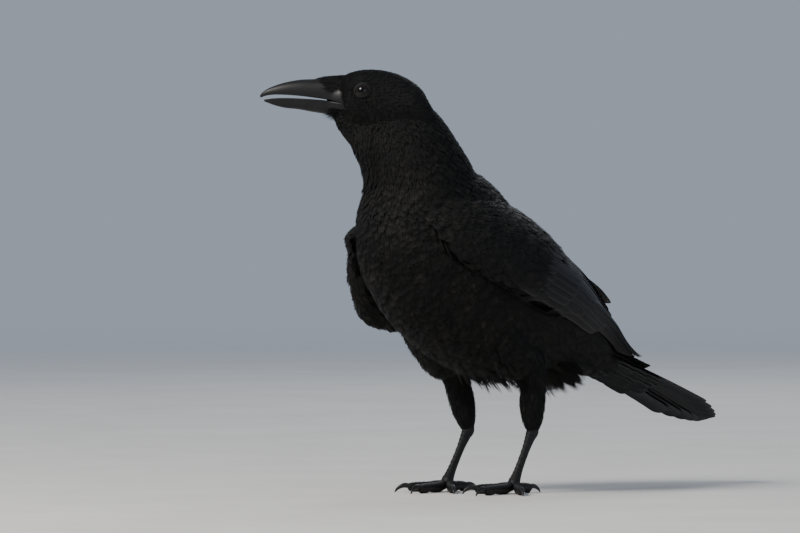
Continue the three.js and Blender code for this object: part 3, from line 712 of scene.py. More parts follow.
class Lie:
    """Which way the coat lies and what it is like, blended from points along the bird's axes."""

    def __init__(self):
        axes = [
            coat_axis(BODY_ROWS, np.linspace(0.2, 10.6, 46), BODY_COAT, BODY, -1),
            coat_axis(head_rows(SKULL_ROWS), np.linspace(-34, 34, 24), SKULL_COAT, HEAD, -1, -0.12),
        ]
        for leg in LEGS.values():
            axes.append(coat_axis(thigh_rows(leg), np.linspace(0, 5, 14), THIGH_COAT, THIGH, 1))
        self.centres, self.ways, self.sizes, self.coats, self.regions = map(np.concatenate, zip(*axes))

    def weights(self, points):
        weights = []
        for some in np.array_split(points, 1 + len(points) // 20000):
            far = np.linalg.norm(some[:, None] - self.centres[None], axis=2) / self.sizes[None]
            weight = np.exp(-((far - far.min(1, keepdims=True)) / 0.12))
            weights.append(weight / weight.sum(1, keepdims=True))
        return np.concatenate(weights)

    def way(self, points, normals):
        """The way the coat lies, along the skin and past the eyes."""
        way = self.weights(points) @ self.ways
        for side in SIDES.values():
            off = points - eye_front(side)
            far = np.linalg.norm(off, axis=1, keepdims=True)
            out = off / np.maximum(far, 1e-6)
            near = 1 - smooth_step(6, 15, far)
            towards = np.minimum((way * out).sum(1, keepdims=True), 0)
            way = way - out * towards * near * 1.15
        return unit(way - normals * (way * normals).sum(1, keepdims=True))

    def coat(self, points):
        weight = self.weights(points)
        region = np.stack([(weight * (self.regions == k)).sum(1) for k in (BODY, HEAD, THIGH)], -1)
        return weight @ self.coats, region


NEIGHBOURS = list(product((-1, 0, 1), repeat=3))


def throw_darts(points, spacing):
    """Indices of points kept so that none is nearer to another than its spacing."""
    keys = np.floor(points / spacing.max()).astype(int)
    grid, kept = {}, []
    for i, (p, (x, y, z), space) in enumerate(zip(points.tolist(), keys.tolist(), spacing.tolist())):
        limit = space * space
        crowded = any(
            (p[0] - q[0]) ** 2 + (p[1] - q[1]) ** 2 + (p[2] - q[2]) ** 2 < limit
            for a, b, c in NEIGHBOURS for q in grid.get((x + a, y + b, z + c), ())
        )
        if not crowded:
            grid.setdefault((x, y, z), []).append(p)
            kept.append(i)
    return np.array(kept)


FINE = 1.5  # millimetres between roots, under which the coat counts as fine


def plant(surface, lie, count, allowed):
    """Roots over a surface, spaced as its coat asks, where allowed says so. The fine coat comes first."""
    spacing = lie.coat(surface.corners.mean(1))[0][:, 2]
    points, normals, uv = surface.sample(count, spacing**-2)
    coat, region = lie.coat(points)
    free = allowed(points, normals, region)
    chosen = []
    for fine in (True, False):
        index = np.nonzero(free & ((coat[:, 2] < FINE) == fine))[0]
        if len(index):
            chosen.append(index[throw_darts(points[index], coat[index, 2])])
    index = np.concatenate(chosen)
    return [values[index] for values in (points, normals, uv, coat, region)]


MARCH = 5  # steps in a coat feather's path
CLIMB = 0.9  # how steeply a feather's path may climb over the front of a wing, and fall beyond it
CLIMB_END = 6  # how far back feathers climb over the wing
CLIMB_REACH = 22.0  # how high they can climb


def march(surface, lie, points, normals, lengths, over=None):
    """Paths of feathers that run from their roots along the lie, and over the front of a wing."""
    rise = np.zeros(len(points))
    here, normal = points, normals
    path, path_normals = [here], [normal]
    step = lengths / MARCH
    for _ in range(MARCH):
        here, normal = surface.nearest(here + lie.way(here, normal) * step[:, None])
        wanted = np.zeros(len(points))
        if over is not None:
            ahead = here[:, 1] < CLIMB_END
            wanted[ahead] = height_of(over, here[ahead], normal[ahead])
        rise = np.clip(wanted, rise - CLIMB * step, rise + CLIMB * step)
        path.append(here + normal * rise[:, None])
        path_normals.append(normal)
    return Paths(np.stack(path, 1), np.stack(path_normals, 1))


def height_of(tree, points, normals):
    """How high a surface lies over points, or 0 where it doesn't."""
    far = cast(tree, points + normals * CLIMB_REACH, -normals, CLIMB_REACH)
    return np.maximum(CLIMB_REACH - far, 0)


def from_eyes(points):
    return np.min([np.linalg.norm(points - eye_front(s), axis=1) for s in SIDES.values()], axis=0)


def from_surfaces(trees, points):
    """Distance to the nearest of some surfaces."""
    return np.array([min(tree.find_nearest(p)[3] for tree in trees) for p in points.tolist()])


def coated_places(wing_trees):
    """A test for places that carry the coat: clear of the eyes, of the bill and of what the wings cover."""
    def allowed(points, normals, region):
        forward, up = to_head(points)
        free = from_eyes(points) > 5.6
        mouth = np.interp(forward, [14, 24, 34], [-6.2, -4.6, -2.6])
        free &= ~((region[:, HEAD] > 0.5) & (forward > 30 - 7 * (np.abs(up - mouth) < 2.4)))
        for tree in wing_trees:
            index = np.nonzero(free & (region[:, HEAD] < 0.3))[0]
            far = cast(tree, points[index], normals[index], 30)
            free[index] = (far <= 0.5) | np.isinf(far)
        return free

    return allowed


COAT_DARTS, WING_DARTS = 170000, 16000  # places tried for roots, on the skin and on an arm
COAT_ROOT = -0.7  # how deep the coat's roots lie


def tones_and_painted_highlights(points, facing_up):
    """How light the feathers are: few are, but more at the sides of the neck and round the cheek, as painted
    highlight.
    """
    forward, up = to_head(points)
    y, z = points[:, 1], points[:, 2]
    # The neck and cheek masks paint highlight: lighter feathers where light would glint on the barbs.
    neck = smooth_step(200, 216, z) * smooth_step(0.5, 0.1, facing_up) * smooth_step(10, -30, y)
    cheek_highlight = smooth_step(8, -4, up) * smooth_step(-14, 0, forward) * (z > 225)
    return rng.random(len(points)) ** mix(2.6, 1.0, np.maximum(neck, cheek_highlight))


def make_coat(surface, lie, wing_trees):
    """The coat of the body: short round the eyes, loose at the throat and below, flat under the wings."""
    points, normals, uv, coat, region = plant(surface, lie, COAT_DARTS, coated_places(wing_trees))
    length, half, _, lift, soft = coat.T
    forward, up = to_head(points)
    y, z, facing_up = points[:, 1], points[:, 2], normals[:, 2]
    underside = smooth_step(0.3, 0.9, -facing_up) * region[:, BODY]
    throat = smooth_step(-7, -15, up) * smooth_step(0, 10, forward) * (z > 225)
    under_wing = smooth_step(16, 3, from_surfaces(wing_trees, points)) * smooth_step(-25, -5, y)
    length = length * mix(0.5, 1, smooth_step(6, 14, from_eyes(points)))
    length = length * (1 + 0.45 * underside * smooth_step(-20, 60, y)) * rng.uniform(0.82, 1.15, len(length))
    length = length * (1 + 0.4 * throat)
    lift = lift * (1 + 0.7 * throat + 0.8 * underside) * rng.uniform(0.75, 1.12, len(lift))
    lift = lift * (1 - 0.65 * under_wing)
    # The tone is random, with painted highlight at the sides of the neck and round the cheek.
    tone = tones_and_painted_highlights(points, facing_up)
    paths = march(surface, lie, points, normals, length, wing_trees[0])
    for name, chosen in coat_groups(points, facing_up, region).items():
        index = np.nonzero(chosen)[0]
        add_coat(name, paths, index, half, (np.full(len(lift), COAT_ROOT), lift), soft, tone, uv)


def coat_groups(points, facing_up, region):
    """Which feathers belong to each part of the coat."""
    y, z = points[:, 1], points[:, 2]
    head = region[:, HEAD] >= 0.5
    thigh = (region[:, THIGH] >= 0.5) & ~head
    neck = ~head & ~thigh & (z - 0.35 * y > 245)
    trunk = ~(head | thigh | neck)
    forward, _ = to_head(points)
    return {
        "coat_face": head & (forward > 2),
        "coat_crown": head & (forward <= 2),
        "coat_thighs": thigh,
        "coat_neck": neck,
        "coat_back": trunk & (facing_up > 0.15),
        "coat_breast": trunk & (facing_up <= 0.15) & (y < 5),
        "coat_belly": trunk & (facing_up <= 0.15) & (y >= 5),
    }


PIECE_LIMIT = 185000  # triangles in one piece of the coat
# How each region's feathers are made: the outline of the vane, the number of loose strands of barbs that
# finish it, and the share of the length at which the vane ends.
COAT_STYLES = {
    "face": (POINTED, 2, 1),
    "crown": (POINTED, 2, 1),
    "neck": (POINTED, 5, 0.95),
    "back": (ROUND, 7, 0.88),
    "breast": (ROUND, 10, 0.8),
    "belly": (ROUND, 11, 0.8),
    "thighs": (POINTED, 6, 0.9),
    "wing": (ROUND, 7, 0.88),
}


def add_coat(name, paths, index, half, height, soft, tone, uv):
    """One region's feathers, in as many pieces as their triangles need."""
    profile, strands, reach = COAT_STYLES[name.split("_")[1]]
    each = blade_triangles(profile) + strands * blade_triangles(STRAND)
    parts = math.ceil(len(index) * each / PIECE_LIMIT)
    index = index[np.argsort(paths.points[index, 0, 0])]
    for k, part in enumerate(np.array_split(index, parts)):
        shape = Shape()
        some = Paths(paths.points[part], paths.normals[part])
        wide, low, high, down, shade, place = (v[part] for v in (half, *height, soft, tone, uv))
        sway = rng.normal(0, 0.25, len(part)) * wide
        thick = 0.35 + 0.04 * wide
        lift = (low, high)
        add_blades(shape, some, (0, 0), (reach, 0), wide, lift, thick, profile, shade, down, place, sway)
        add_fringe(shape, some, wide, low, high, down, shade, place, strands)
        shape.piece(name if parts == 1 else f"{name}_{k + 1}", PLUMAGE, "plumage")


def add_fringe(shape, paths, half, root, lift, soft, tone, uv, count):
    """Strands of barbs that stand free of each feather's edge, so that the coat looks soft."""
    middle = mix(root, lift, 0.55)
    n = len(half)
    for k in range(count):
        place = (k + 0.5) / count * 2 - 1
        place = np.clip(place + rng.normal(0, 0.16, n), -1, 1)
        curve = np.sqrt(np.clip(1 - place * place, 0, 1))
        start = (0.42 + 0.18 * rng.random(n), place * half * 0.55)
        reach = 0.72 + 0.3 * curve + rng.normal(0, 0.05, n) + 0.06 * soft
        end = (reach, place * half * (1.02 + 0.18 * soft))
        rise = lift * (0.98 + 0.1 * rng.random(n)) + 0.12
        add_blades(
            shape, paths, start, end, half * 0.6 / count + 0.16, (middle, rise), 0.25, STRAND,
            np.clip(tone + rng.normal(0, 0.2, n), 0, 1), np.minimum(1, soft + 0.25), uv,
            rng.normal(0, 0.12, n) * half,
        )


FLUFF = [  # stations and angles on the body between which it hangs, count, length, how far it stands off
    [(3.7, 4.5), (250, 290), 110, 20, 0.5],
    [(2.4, 2.95), (228, 312), 300, 22, 0.9],
]
LOCK = 7  # strands in a lock of fluff


def make_fluff(surface):
    """Loose locks that hang under the belly and at the vent."""
    shape = Shape()
    for stations, angles, count, length, off in FLUFF:
        station, angle = rng.uniform(*stations, count), rng.uniform(*angles, count)
        depth = -BODY_DEPTH(station)[:, 0]
        root = body_point(station, angle, depth)
        outward = unit(body_point(station, angle, depth + 1) - root)
        backward = unit(body_point(station - 0.02, angle, depth) - body_point(station + 0.02, angle, depth))
        way = backward + outward * (off + rng.normal(0, 0.14, count))[:, None]
        way = unit(way + rng.normal(0, 0.12, (count, 3)))
        reach = length * rng.uniform(0.6, 1.15, count)
        t = np.linspace(0, 1, 6)[None, :, None]
        points = root[:, None] + way[:, None] * reach[:, None, None] * t
        points = points + backward[:, None] * reach[:, None, None] * 0.12 * t**2
        add_locks(shape, Paths(points, np.repeat(outward[:, None], 6, 1)), surface.map_at(root))
    shape.piece("fluff", PLUMAGE, "plumage")


def add_locks(shape, paths, uv):
    """Locks of strands that spread from their paths."""
    count = len(uv)
    tone = rng.random(count)
    for k in range(LOCK):
        place = (k / (LOCK - 1) - 0.5) * 2
        spread = rng.uniform(1.2, 2.6, count)
        end = (rng.uniform(0.75, 1.02, count), place * spread * 0.5)
        half, lift = rng.uniform(0.35, 0.6, count), rng.normal(0, 0.5, count)
        sway = place * spread * 0.5
        add_blades(shape, paths, (0, place * 0.4), end, half, (0, lift), 0.3, STRAND, tone, 0.9, uv, sway)


# ---------- bill, bristles and eyes ----------
GAPE_GROWTH = 2.6  # how far the corners of the mouth swell out of the skin
CORNEA_RISE = 0.35
LID_SKIRT = [[5.1, 0.1], [5.7, -0.35], [6.4, -1.5], [6.2, -2.2], [5.1, -1.0]]  # radius, height over the edge


def gape_relief(station, angle):
    """The horn's edges swell along the mouth, back to its corners."""
    lip = smooth_step(0.6, 0.2, np.abs(rise_of(angle)))
    return GAPE_GROWTH * lip * smooth_step(34, 23, station)


def make_bill():
    for name, rows, stations in (
        ("bill_upper", UPPER_BILL_ROWS, np.concatenate([np.linspace(14, 74, 46), np.linspace(75, 80, 12)])),
        ("bill_lower", LOWER_BILL_ROWS, np.concatenate([np.linspace(14, 72, 44), np.linspace(73, 77.5, 10)])),
    ):
        shape = Shape()
        add_loft(shape, head_rows(rows), 56, stations, 0, BILL_POWER, gape_relief)
        shape.piece(name + "_horn", HORN, "bill", [name])


def bristle_paths(point, angle, start, end, rise, drift):
    """Bristles along the bill's surface at given angles, from one distance ahead to another."""
    t = np.linspace(0, 1, 6)[None]
    station = mix(start[:, None], end[:, None], t)
    bend = angle[:, None] + (rng.normal(0, 4, len(angle)) + drift)[:, None] * t
    height = -0.4 + (rise[:, None] + 0.4) * t**0.7
    points = point(station, bend, height)
    return Paths(points, unit(point(station, bend, height + 1) - points))


def add_nostril_bristles(shape, surface, n=520):
    """Stiff feathers that lie forward over the nostrils."""
    angle = rng.uniform(14, 166, n)
    start = rng.uniform(15, 31, n)
    end = start + rng.uniform(8, 17, n)
    end = np.minimum(end, 34 + 11 * rise_of(angle) + rng.normal(0, 1.2, n))
    drift = -6 * np.sign(angle - 90)
    paths = bristle_paths(upper_bill_point, angle, start, end, rng.uniform(0.2, 1.4, n), drift)
    half, tone = rng.uniform(0.22, 0.42, n), rng.random(n) ** 1.5
    uv = surface.map_at(paths.points[:, 0])
    add_blades(shape, paths, (0, 0), (1, 0), half, (0, 0), 0.3, STRAND, tone, 0.2, uv)


def add_chin_bristles(shape, surface, n=260):
    """Fine bristles at the chin, some of which stand off."""
    angle = rng.uniform(205, 335, n)
    start = rng.uniform(15, 27, n)
    end = start + rng.uniform(6, 12, n) * (0.55 + 0.45 * np.abs(rise_of(angle)))
    stray = rng.random(n) < 0.35
    rise = np.where(stray, rng.uniform(2.0, 4.8, n), rng.uniform(0.4, 1.8, n))
    paths = bristle_paths(lower_bill_point, angle, start, end, rise, 0)
    half, tone = np.where(stray, 0.18, 0.36), rng.random(n)
    uv = surface.map_at(paths.points[:, 0])
    add_blades(shape, paths, (0, 0), (1, 0), half, (0, 0), 0.25, STRAND, tone, 0.3, uv)


def make_bristles(surface):
    shape = Shape()
    add_nostril_bristles(shape, surface)
    add_chin_bristles(shape, surface)
    shape.piece("bristles", PLUMAGE, "plumage")


def turned_ring(centre, axis, radius, height, angles):
    """A ring of points round an axis, at a height along it."""
    side = unit(np.cross(axis, [0, 0, 1.0]))
    up = np.cross(side, axis)
    cos, sin = np.cos(angles)[:, None], np.sin(angles)[:, None]
    return centre + axis * height + (side * cos + up * sin) * radius


def make_eyeball(name, centre, axis):
    """The eyeball, whose cornea stands out a little."""
    angles = np.linspace(0, 2 * np.pi, 48, endpoint=False)
    polar = np.linspace(0.03, np.pi - 0.03, 40)
    radii = EYEBALL_RADIUS + CORNEA_RISE * bell(polar, 0, 0.55)
    rings = np.stack([
        turned_ring(centre, axis, radius * math.sin(tilt), radius * math.cos(tilt), angles)
        for tilt, radius in zip(polar, radii)
    ])
    front, back = centre + axis * (EYEBALL_RADIUS + CORNEA_RISE), centre - axis * EYEBALL_RADIUS
    shape = Shape()
    add_tube(shape, rings, front, back, polar=np.concatenate([np.repeat(polar, len(angles)), [0, np.pi]]))
    shape.piece(f"eyeball_{name}", EYE, "eye", [f"eye_{name}"], crease=180)


def make_lids(name, centre, axis):
    """The beaded edge round the open eye, and the skin that runs from it into the face."""
    around = np.linspace(0, 2 * np.pi, 144, endpoint=False)
    scallop = 0.1 * np.cos(30 * around) + 0.05 * np.cos(17 * around + 1)
    squash = 1 - 0.05 * np.abs(np.sin(around))
    level = math.sqrt(EYEBALL_RADIUS**2 - LID_RADIUS**2)
    bead = []
    for turn in np.linspace(0, 2 * np.pi, 12, endpoint=False):
        out, up = math.cos(turn), math.sin(turn)
        radius = (LID_RADIUS + 0.1 + 0.3 * out) * squash + scallop * (out + 0.6) * 0.6
        height = level + 0.05 + 0.28 * up + 0.1 * scallop
        bead.append(turned_ring(centre, axis, radius[:, None], height[:, None], around))
    skirt = [turned_ring(centre, axis, radius, level + height, around) for radius, height in LID_SKIRT]
    shape = Shape()
    add_hoop(shape, np.stack(bead, 1))
    add_hoop(shape, np.stack(skirt, 1))
    shape.piece(f"lids_{name}", LID, "leg", crease=70)


def make_eyes():
    for name, side in SIDES.items():
        make_eyeball(name, eye_centre(side), gaze(side))
        make_lids(name, eye_centre(side), gaze(side))


# ---------- large feathers ----------
ROOT_SHARE = 0.12  # the share of a large feather's length over which it widens at its root


def vane_shares(rows, rounding):
    """Shares of a feather's length, closer together where its tip is rounded."""
    tip_rows = rows // 3
    straight = np.linspace(0.004, 1 - rounding, rows - tip_rows, endpoint=False)
    edge = 1 - (1 - np.linspace(0, 1, tip_rows)) ** 2.2
    return np.concatenate([straight, 1 - rounding + rounding * edge[:-1], [0.9985]])


def vane_fullness(share, rounding):
    """How much of its width a feather has along its length."""
    base = np.clip(share / ROOT_SHARE, 0, 1)
    tip = np.clip((share - (1 - rounding)) / rounding, 0, 1)
    fullness = 0.18 + 0.82 * np.sin(base * np.pi / 2) ** 1.3
    return fullness * np.sqrt(np.clip(1 - tip**2.4, 0.0004, 1))


def worn_edge(share, notch):
    """How much of a web is left along its length, after small waves and notches."""
    wave = 1 + 0.025 * np.sin(share * rng.uniform(14, 22) + rng.uniform(0, 6))
    cut = np.zeros_like(share)
    for _ in range(rng.integers(1, 4)):
        at = rng.uniform(0.45, 0.97)
        cut += rng.uniform(0.5, 1) * notch * bell(share, at, 0.012)
    return wave * (1 - cut)


def add_vane(shape, surface, root, tip, wide, lift, tone, uv, raised, thick, soft, tilt=0.0, notch=0.05,
             rows=26, columns=9, blunt=0.9):
    """A large feather on a surface(along, across, lift). root and tip are [along, across], wide the half
    widths of the upper and the lower web, lift the heights at root and tip, and raised what the tip rises."""
    length = np.linalg.norm(surface(*tip, 0) - surface(*root, 0))
    rounding = min(0.45, blunt * max(wide) / length)
    share = vane_shares(rows, rounding)
    fullness = vane_fullness(share, rounding)
    along, across = mix(root[0], tip[0], share), mix(root[1], tip[1], share)
    height = mix(lift[0], lift[1], np.sqrt(share)) + raised * share**2
    step = np.linalg.norm(surface(along, across + 0.5, height) - surface(along, across - 0.5, height), axis=1)
    upper, lower = ((w * fullness * worn_edge(share, notch))[:, None] for w in wide)
    x = np.linspace(1, -1, columns)
    offset = np.where(x > 0, upper * x, lower * x)
    ridge = bell(x, 0, 0.16) * 0.28 * (1 - 0.7 * share[:, None])
    camber = -0.13 * np.abs(offset) * np.abs(x)
    thin = (thick / 2) * (1 - 0.75 * np.abs(x) ** 1.5) * (1 - 0.45 * share[:, None])
    angle = across[:, None] + offset / step[:, None]
    level = height[:, None] + camber + tilt * offset
    top = surface(along[:, None], angle, level + thin + ridge)
    low = surface(along[:, None], angle, level - thin)[:, -2:0:-1]
    ring = np.concatenate([top, low], 1)
    first = surface(along[0] - 0.5, across[0], height[0])
    last = surface(tip[0], across[-1], height[-1])
    shares = np.concatenate([np.repeat(share, ring.shape[1]), [0, 1]])
    sides = np.concatenate([np.tile(np.concatenate([x, x[-2:0:-1]]), len(share)), [0, 0]])
    patch = uv + np.stack([shares - 0.5, sides / 2], -1) * VANE_PATCH
    add_tube(shape, ring, first, last, patch, along=shares, across=sides, tone=tone, soft=soft)


def add_vanes(shape, surface, roots, tips, wide, lifts, tones, uv, raises, **looks):
    """A row of large feathers, each made as add_vane says."""
    for feather in zip(roots, tips, wide, lifts, tones, uv, raises):
        add_vane(shape, surface, *feather, **looks)


# ---------- wings ----------
# Rows of large feathers: name, count, [along, angle] of the lowest and the highest root and of their tips,
# half widths of the webs, lift at the tip, how much higher each lies, tilt, bluntness. The primaries take
# how much higher each lies from PRIMARY_STACK.
TIERS = {
    "flight": [
        ["primaries", 9, [[100, -12], [112, 8]], [[196, 3], [220, 47]], [4.8, 3.2], -3.6, None, -0.14, 1.6],
        ["secondaries", 10, [[78, -12], [78, 53]], [[152, -13], [188, 60]], [8, 5.4], -2.4, 0.12, -0.2, 1],
        ["tertials", 4, [[78, 48], [84, 66]], [[182, 56], [168, 78]], [8.4, 7.6], -1, 1, -0.14, 1.1],
    ],
    "coverts": [
        ["primary", 6, [[62, -15], [66, -5]], [[104, -17], [126, -8]], [4.2, 3], -1.8, 0.3, -0.18, 1.2],
        ["greater", 12, [[52, -13], [68, 56]], [[104, -13], [130, 60]], [6, 4.6], -0.8, 0, -0.24, 1],
        ["median", 12, [[30, -13], [52, 46]], [[74, -14], [102, 57]], [5.6, 4.4], 0.2, 0, -0.24, 1],
        ["alula", 3, [[30, -16], [36, -11]], [[76, -20], [86, -15]], [4, 3], -0.6, 0.35, -0.16, 1.3],
    ],
}
LOOKS = {
    "flight": {"thick": 0.7, "soft": 0.1, "rows": 34},
    "coverts": {"thick": 0.55, "soft": 0.25, "rows": 24},
}
ROOT_LIFT = -8  # every root is sunk this deep into the arm
# Feathers of the shoulder that lie over the tertials: count, roots, tips, half widths, lifts at root and tip.
SHOULDER_TIERS = [
    [8, [[62, 46], [88, 68]], [[100, 54], [144, 71]], [7.6, 6.6], [-7, -0.8]],
    [8, [[44, 42], [72, 64]], [[80, 50], [118, 70]], [7.2, 6.4], [-6, -0.4]],
]
# What the small feathers are like along the arm: length, half width, spacing, lift at the tip, softness.
WING_COAT = track([
    [-22, 12, 2.6, 2.2, 2.8, 0.7],
    [0, 14, 3.0, 2.4, 3.0, 0.6],
    [20, 15, 3.4, 2.7, 3.4, 0.5],
    [50, 18, 4.0, 3.2, 4.2, 0.4],
    [90, 24, 5.0, 4.0, 3.6, 0.4],
])
PAD_DEPTH = track([[-20, 5], [0, 11], [37, 13], [90, 12], [130, 7], [152, 2.2]])
ARM_END, SHOULDER_END = 58, 34  # how far along the small feathers go, and how much further at the shoulder


def wing_surface(name):
    """A function for points of a wing's outer face: so far along it, at an angle round it and above it."""
    wrap, side = track(WRAPS[name]), SIDES[name]

    def at(along, angle, lift):
        along, angle, lift = arrays(along, angle, lift)
        y, z, wide, high = np.moveaxis(wrap(along), -1, 0)
        rise = rise_of(angle) * (high + lift)
        out = side * np.cos(np.radians(angle)) * (wide + lift)
        return np.stack([out, y + math.sin(WING_SLOPE) * rise, z + math.cos(WING_SLOPE) * rise], -1)

    return at


def wing_pad(name):
    """The arm and hand under the coverts."""
    surface = wing_surface(name)
    along = np.linspace(-20, 152, 60)[:, None]
    low, high = np.split(track(EDGES[name])(along[:, 0]), 2, 1)
    share = np.linspace(0, 1, 24)
    angle = mix(low + 1, high - 1, share)
    inward, forward = BEND[name]
    bend = inward * smooth_step(30, 0, along) * smooth_step(0.6, 0.3, share)
    level = -3.4 - 5 * smooth_step(84, 118, along) - bend
    top = surface(along, angle, level - 1.2 * np.abs(2 * share - 1) ** 6)
    bottom = surface(along, angle, level - PAD_DEPTH(along[:, 0]))[:, ::-1]
    rings = np.concatenate([top, bottom], 1)
    reach = forward * smooth_step(25, -10, along) * smooth_step(0.3, 0.8, share)
    rings[..., 1] -= np.concatenate([reach, reach[:, ::-1]], 1)
    return rings


def make_arm(name):
    """The arm and hand under the feathers, as a strap with a map of its own."""
    shape = Shape()
    add_strap(shape, wing_pad(name))
    arm = shape.piece(f"arm_{name}", SKIN, "plumage")
    unwrap(arm)
    return Surface(arm)


class WingLie:
    """Which way the small feathers lie on an arm and what they are like there."""

    def __init__(self, name):
        self.side = SIDES[name]
        self.wrap = track(WRAPS[name])
        self.steps = np.linspace(-30, 160, 96)
        y, z = self.wrap(self.steps)[:, :2].T
        self.marks = y - math.tan(WING_SLOPE) * z

    def place(self, points):
        """How far along and how far up round the wing points are."""
        along = np.interp(points[:, 1] - math.tan(WING_SLOPE) * points[:, 2], self.marks, self.steps)
        _, z, wide, high = self.wrap(along).T
        rise = (points[:, 2] - z) / math.cos(WING_SLOPE) / high
        return along, np.degrees(np.arctan2(rise, self.side * points[:, 0] / wide))

    def way(self, points, normals):
        way = np.array([0.3 * self.side, math.cos(WING_SLOPE), -math.sin(WING_SLOPE)])
        return unit(way - normals * (normals @ way)[:, None])

    def coat(self, points):
        return WING_COAT(self.place(points)[0]), np.zeros((len(points), 3))


def make_wing_coat(name, arm, skin_tree):
    """Small feathers over the shoulder, the bend and the inner face of a wing."""
    lie = WingLie(name)

    def allowed(points, normals, _):
        along, angle = lie.place(points)
        outer = normals[:, 0] * lie.side > -0.25
        free = along < ARM_END + SHOULDER_END * smooth_step(32, 50, angle) + 60 * ~outer
        index = np.nonzero(free & ~outer)[0]
        free[index] = np.isinf(cast(skin_tree, points[index], normals[index], 12))
        return free

    points, normals, uv, coat, _ = plant(arm, lie, WING_DARTS, allowed)
    length, half, _, lift, soft = coat.T
    along, angle = lie.place(points)
    shoulder = smooth_step(30, 52, angle) * smooth_step(10, 60, along)
    length = length * (1 + 0.35 * shoulder) * rng.uniform(0.85, 1.15, len(length))
    lift = lift * rng.uniform(0.8, 1.1, len(lift))
    tone = rng.random(len(length)) ** 1.7
    paths = march(arm, lie, points, normals, length)
    root = mix(COAT_ROOT, 1.2, smooth_step(20, 60, along))
    add_coat(f"coat_wing_{name}", paths, np.arange(len(points)), half, (root, lift), soft, tone, uv)


def spread_pairs(pairs, count):
    """Rows that run evenly from the first to the last of a pair."""
    first, last = np.array(pairs, float)
    return mix(first, last, np.linspace(0, 1, count)[:, None])


def wing_map(roots):
    """Where the large feathers' patches lie on the map, by their roots' places on the wing."""
    return np.stack([roots[:, 0] / 300 + 0.2, (roots[:, 1] + 40) / 140], -1)


def add_tier(shape, name, looks, tier):
    """A row of flight feathers or coverts."""
    kind, count, roots, tips, wide, lift, stack, tilt, blunt = tier
    raise_by, reach = LOOSE[name]
    low, high = LOOSE_SHARE.get(kind, (0, 0))
    loose = mix(low, high, np.linspace(0, 1, count) ** 2)
    stack = PRIMARY_STACK[name] if stack is None else stack
    root, tip = spread_pairs(roots, count), spread_pairs(tips, count)
    tip[:, 0] += reach * loose + rng.normal(0, 0.8, count)
    level = lift + stack * np.arange(count) + rng.normal(0, 0.08, count)
    lifts = np.stack([np.full(count, ROOT_LIFT), level], -1)
    webs = np.array(wide) * rng.uniform(0.96, 1.04, (count, 1))
    add_vanes(
        shape, wing_surface(name), root, tip, webs, lifts, rng.random(count), wing_map(root),
        raise_by * loose, tilt=tilt, blunt=blunt, **looks,
    )


def add_shoulder_tier(shape, name, tier):
    """A row of soft feathers at the shoulder."""
    count, roots, tips, wide, lifts = tier
    root, tip = spread_pairs(roots, count), spread_pairs(tips, count)
    tip += rng.normal(0, 1.0, tip.shape)
    lifts = np.array(lifts) + rng.normal(0, 0.15, (count, 1))
    webs = np.array(wide) * rng.uniform(0.92, 1.08, (count, 1))
    add_vanes(
        shape, wing_surface(name), root, tip, webs, lifts, rng.random(count), wing_map(root),
        np.zeros(count), thick=0.5, soft=0.4, tilt=0.12, notch=0.12, rows=20, columns=7,
    )


def make_wing(name):
    shapes = {"flight": Shape(), "coverts": Shape()}
    for piece, tiers in TIERS.items():
        for tier in tiers:
            add_tier(shapes[piece], name, LOOKS[piece], tier)
    for tier in SHOULDER_TIERS:
        add_shoulder_tier(shapes["coverts"], name, tier)
    shapes["flight"].piece(f"wing_{name}_flight", FLIGHT, "flight_feathers", [f"wing_{name}"], crease=50)
    shapes["coverts"].piece(f"wing_{name}_coverts", FLIGHT, "flight_feathers", crease=50)


# ---------- tail ----------
def turned(points, one, other, angle):
    """Points turned from one coordinate axis towards another."""
    cos, sin = math.cos(angle), math.sin(angle)
    out = points.copy()
    out[..., one] = points[..., one] * cos - points[..., other] * sin
    out[..., other] = points[..., one] * sin + points[..., other] * cos
    return out


def tail_surface(along, out, lift):
    """Points of the tail's gently arched sheet: so far along it, out from its middle and above it."""
    along, out, lift = arrays(along, out, lift)
    bow = TAIL_BOW * np.sin(np.pi * np.clip(along / TAIL_LENGTH, 0, 1))
    flat = np.stack([out, along, lift + bow - TAIL_ARCH * out * out], -1)
    sloped = turned(turned(flat, 0, 2, TAIL_ROLL), 1, 2, -TAIL_SLOPE)
    return turned(sloped, 0, 1, TAIL_SWING) + TAIL_ROOT


def make_tail_feathers():
    """Six feathers on each side, with the middle ones on top."""
    shape = Shape()
    for side in SIDES.values():
        for k in range(6):
            out = 1.6 + TAIL_SPREAD[side] * k
            inner, outer = min(9, out + (5 if k == 0 else -0.4)), 7 if k == 0 else 5.2
            layer = 0 if k == 0 and side == LEFT else k + 1
            wide = [outer, inner] if side == LEFT else [inner, outer]
            root, tip = [8, side * (1 + 2 * k)], [TAIL_LENGTH - 1.15 * k * k, side * out]
            uv = np.array([0.3 + 0.05 * k, 0.5 + side * 0.2])
            add_vane(
                shape, tail_surface, root, tip, wide, [-2.4 - 0.2 * k, -0.6 * layer], rng.random(), uv, 0,
                thick=0.5, soft=0.1, rows=36, blunt=1.1,
            )
    shape.piece("tail_feathers", FLIGHT, "flight_feathers", ["tail"], crease=50)


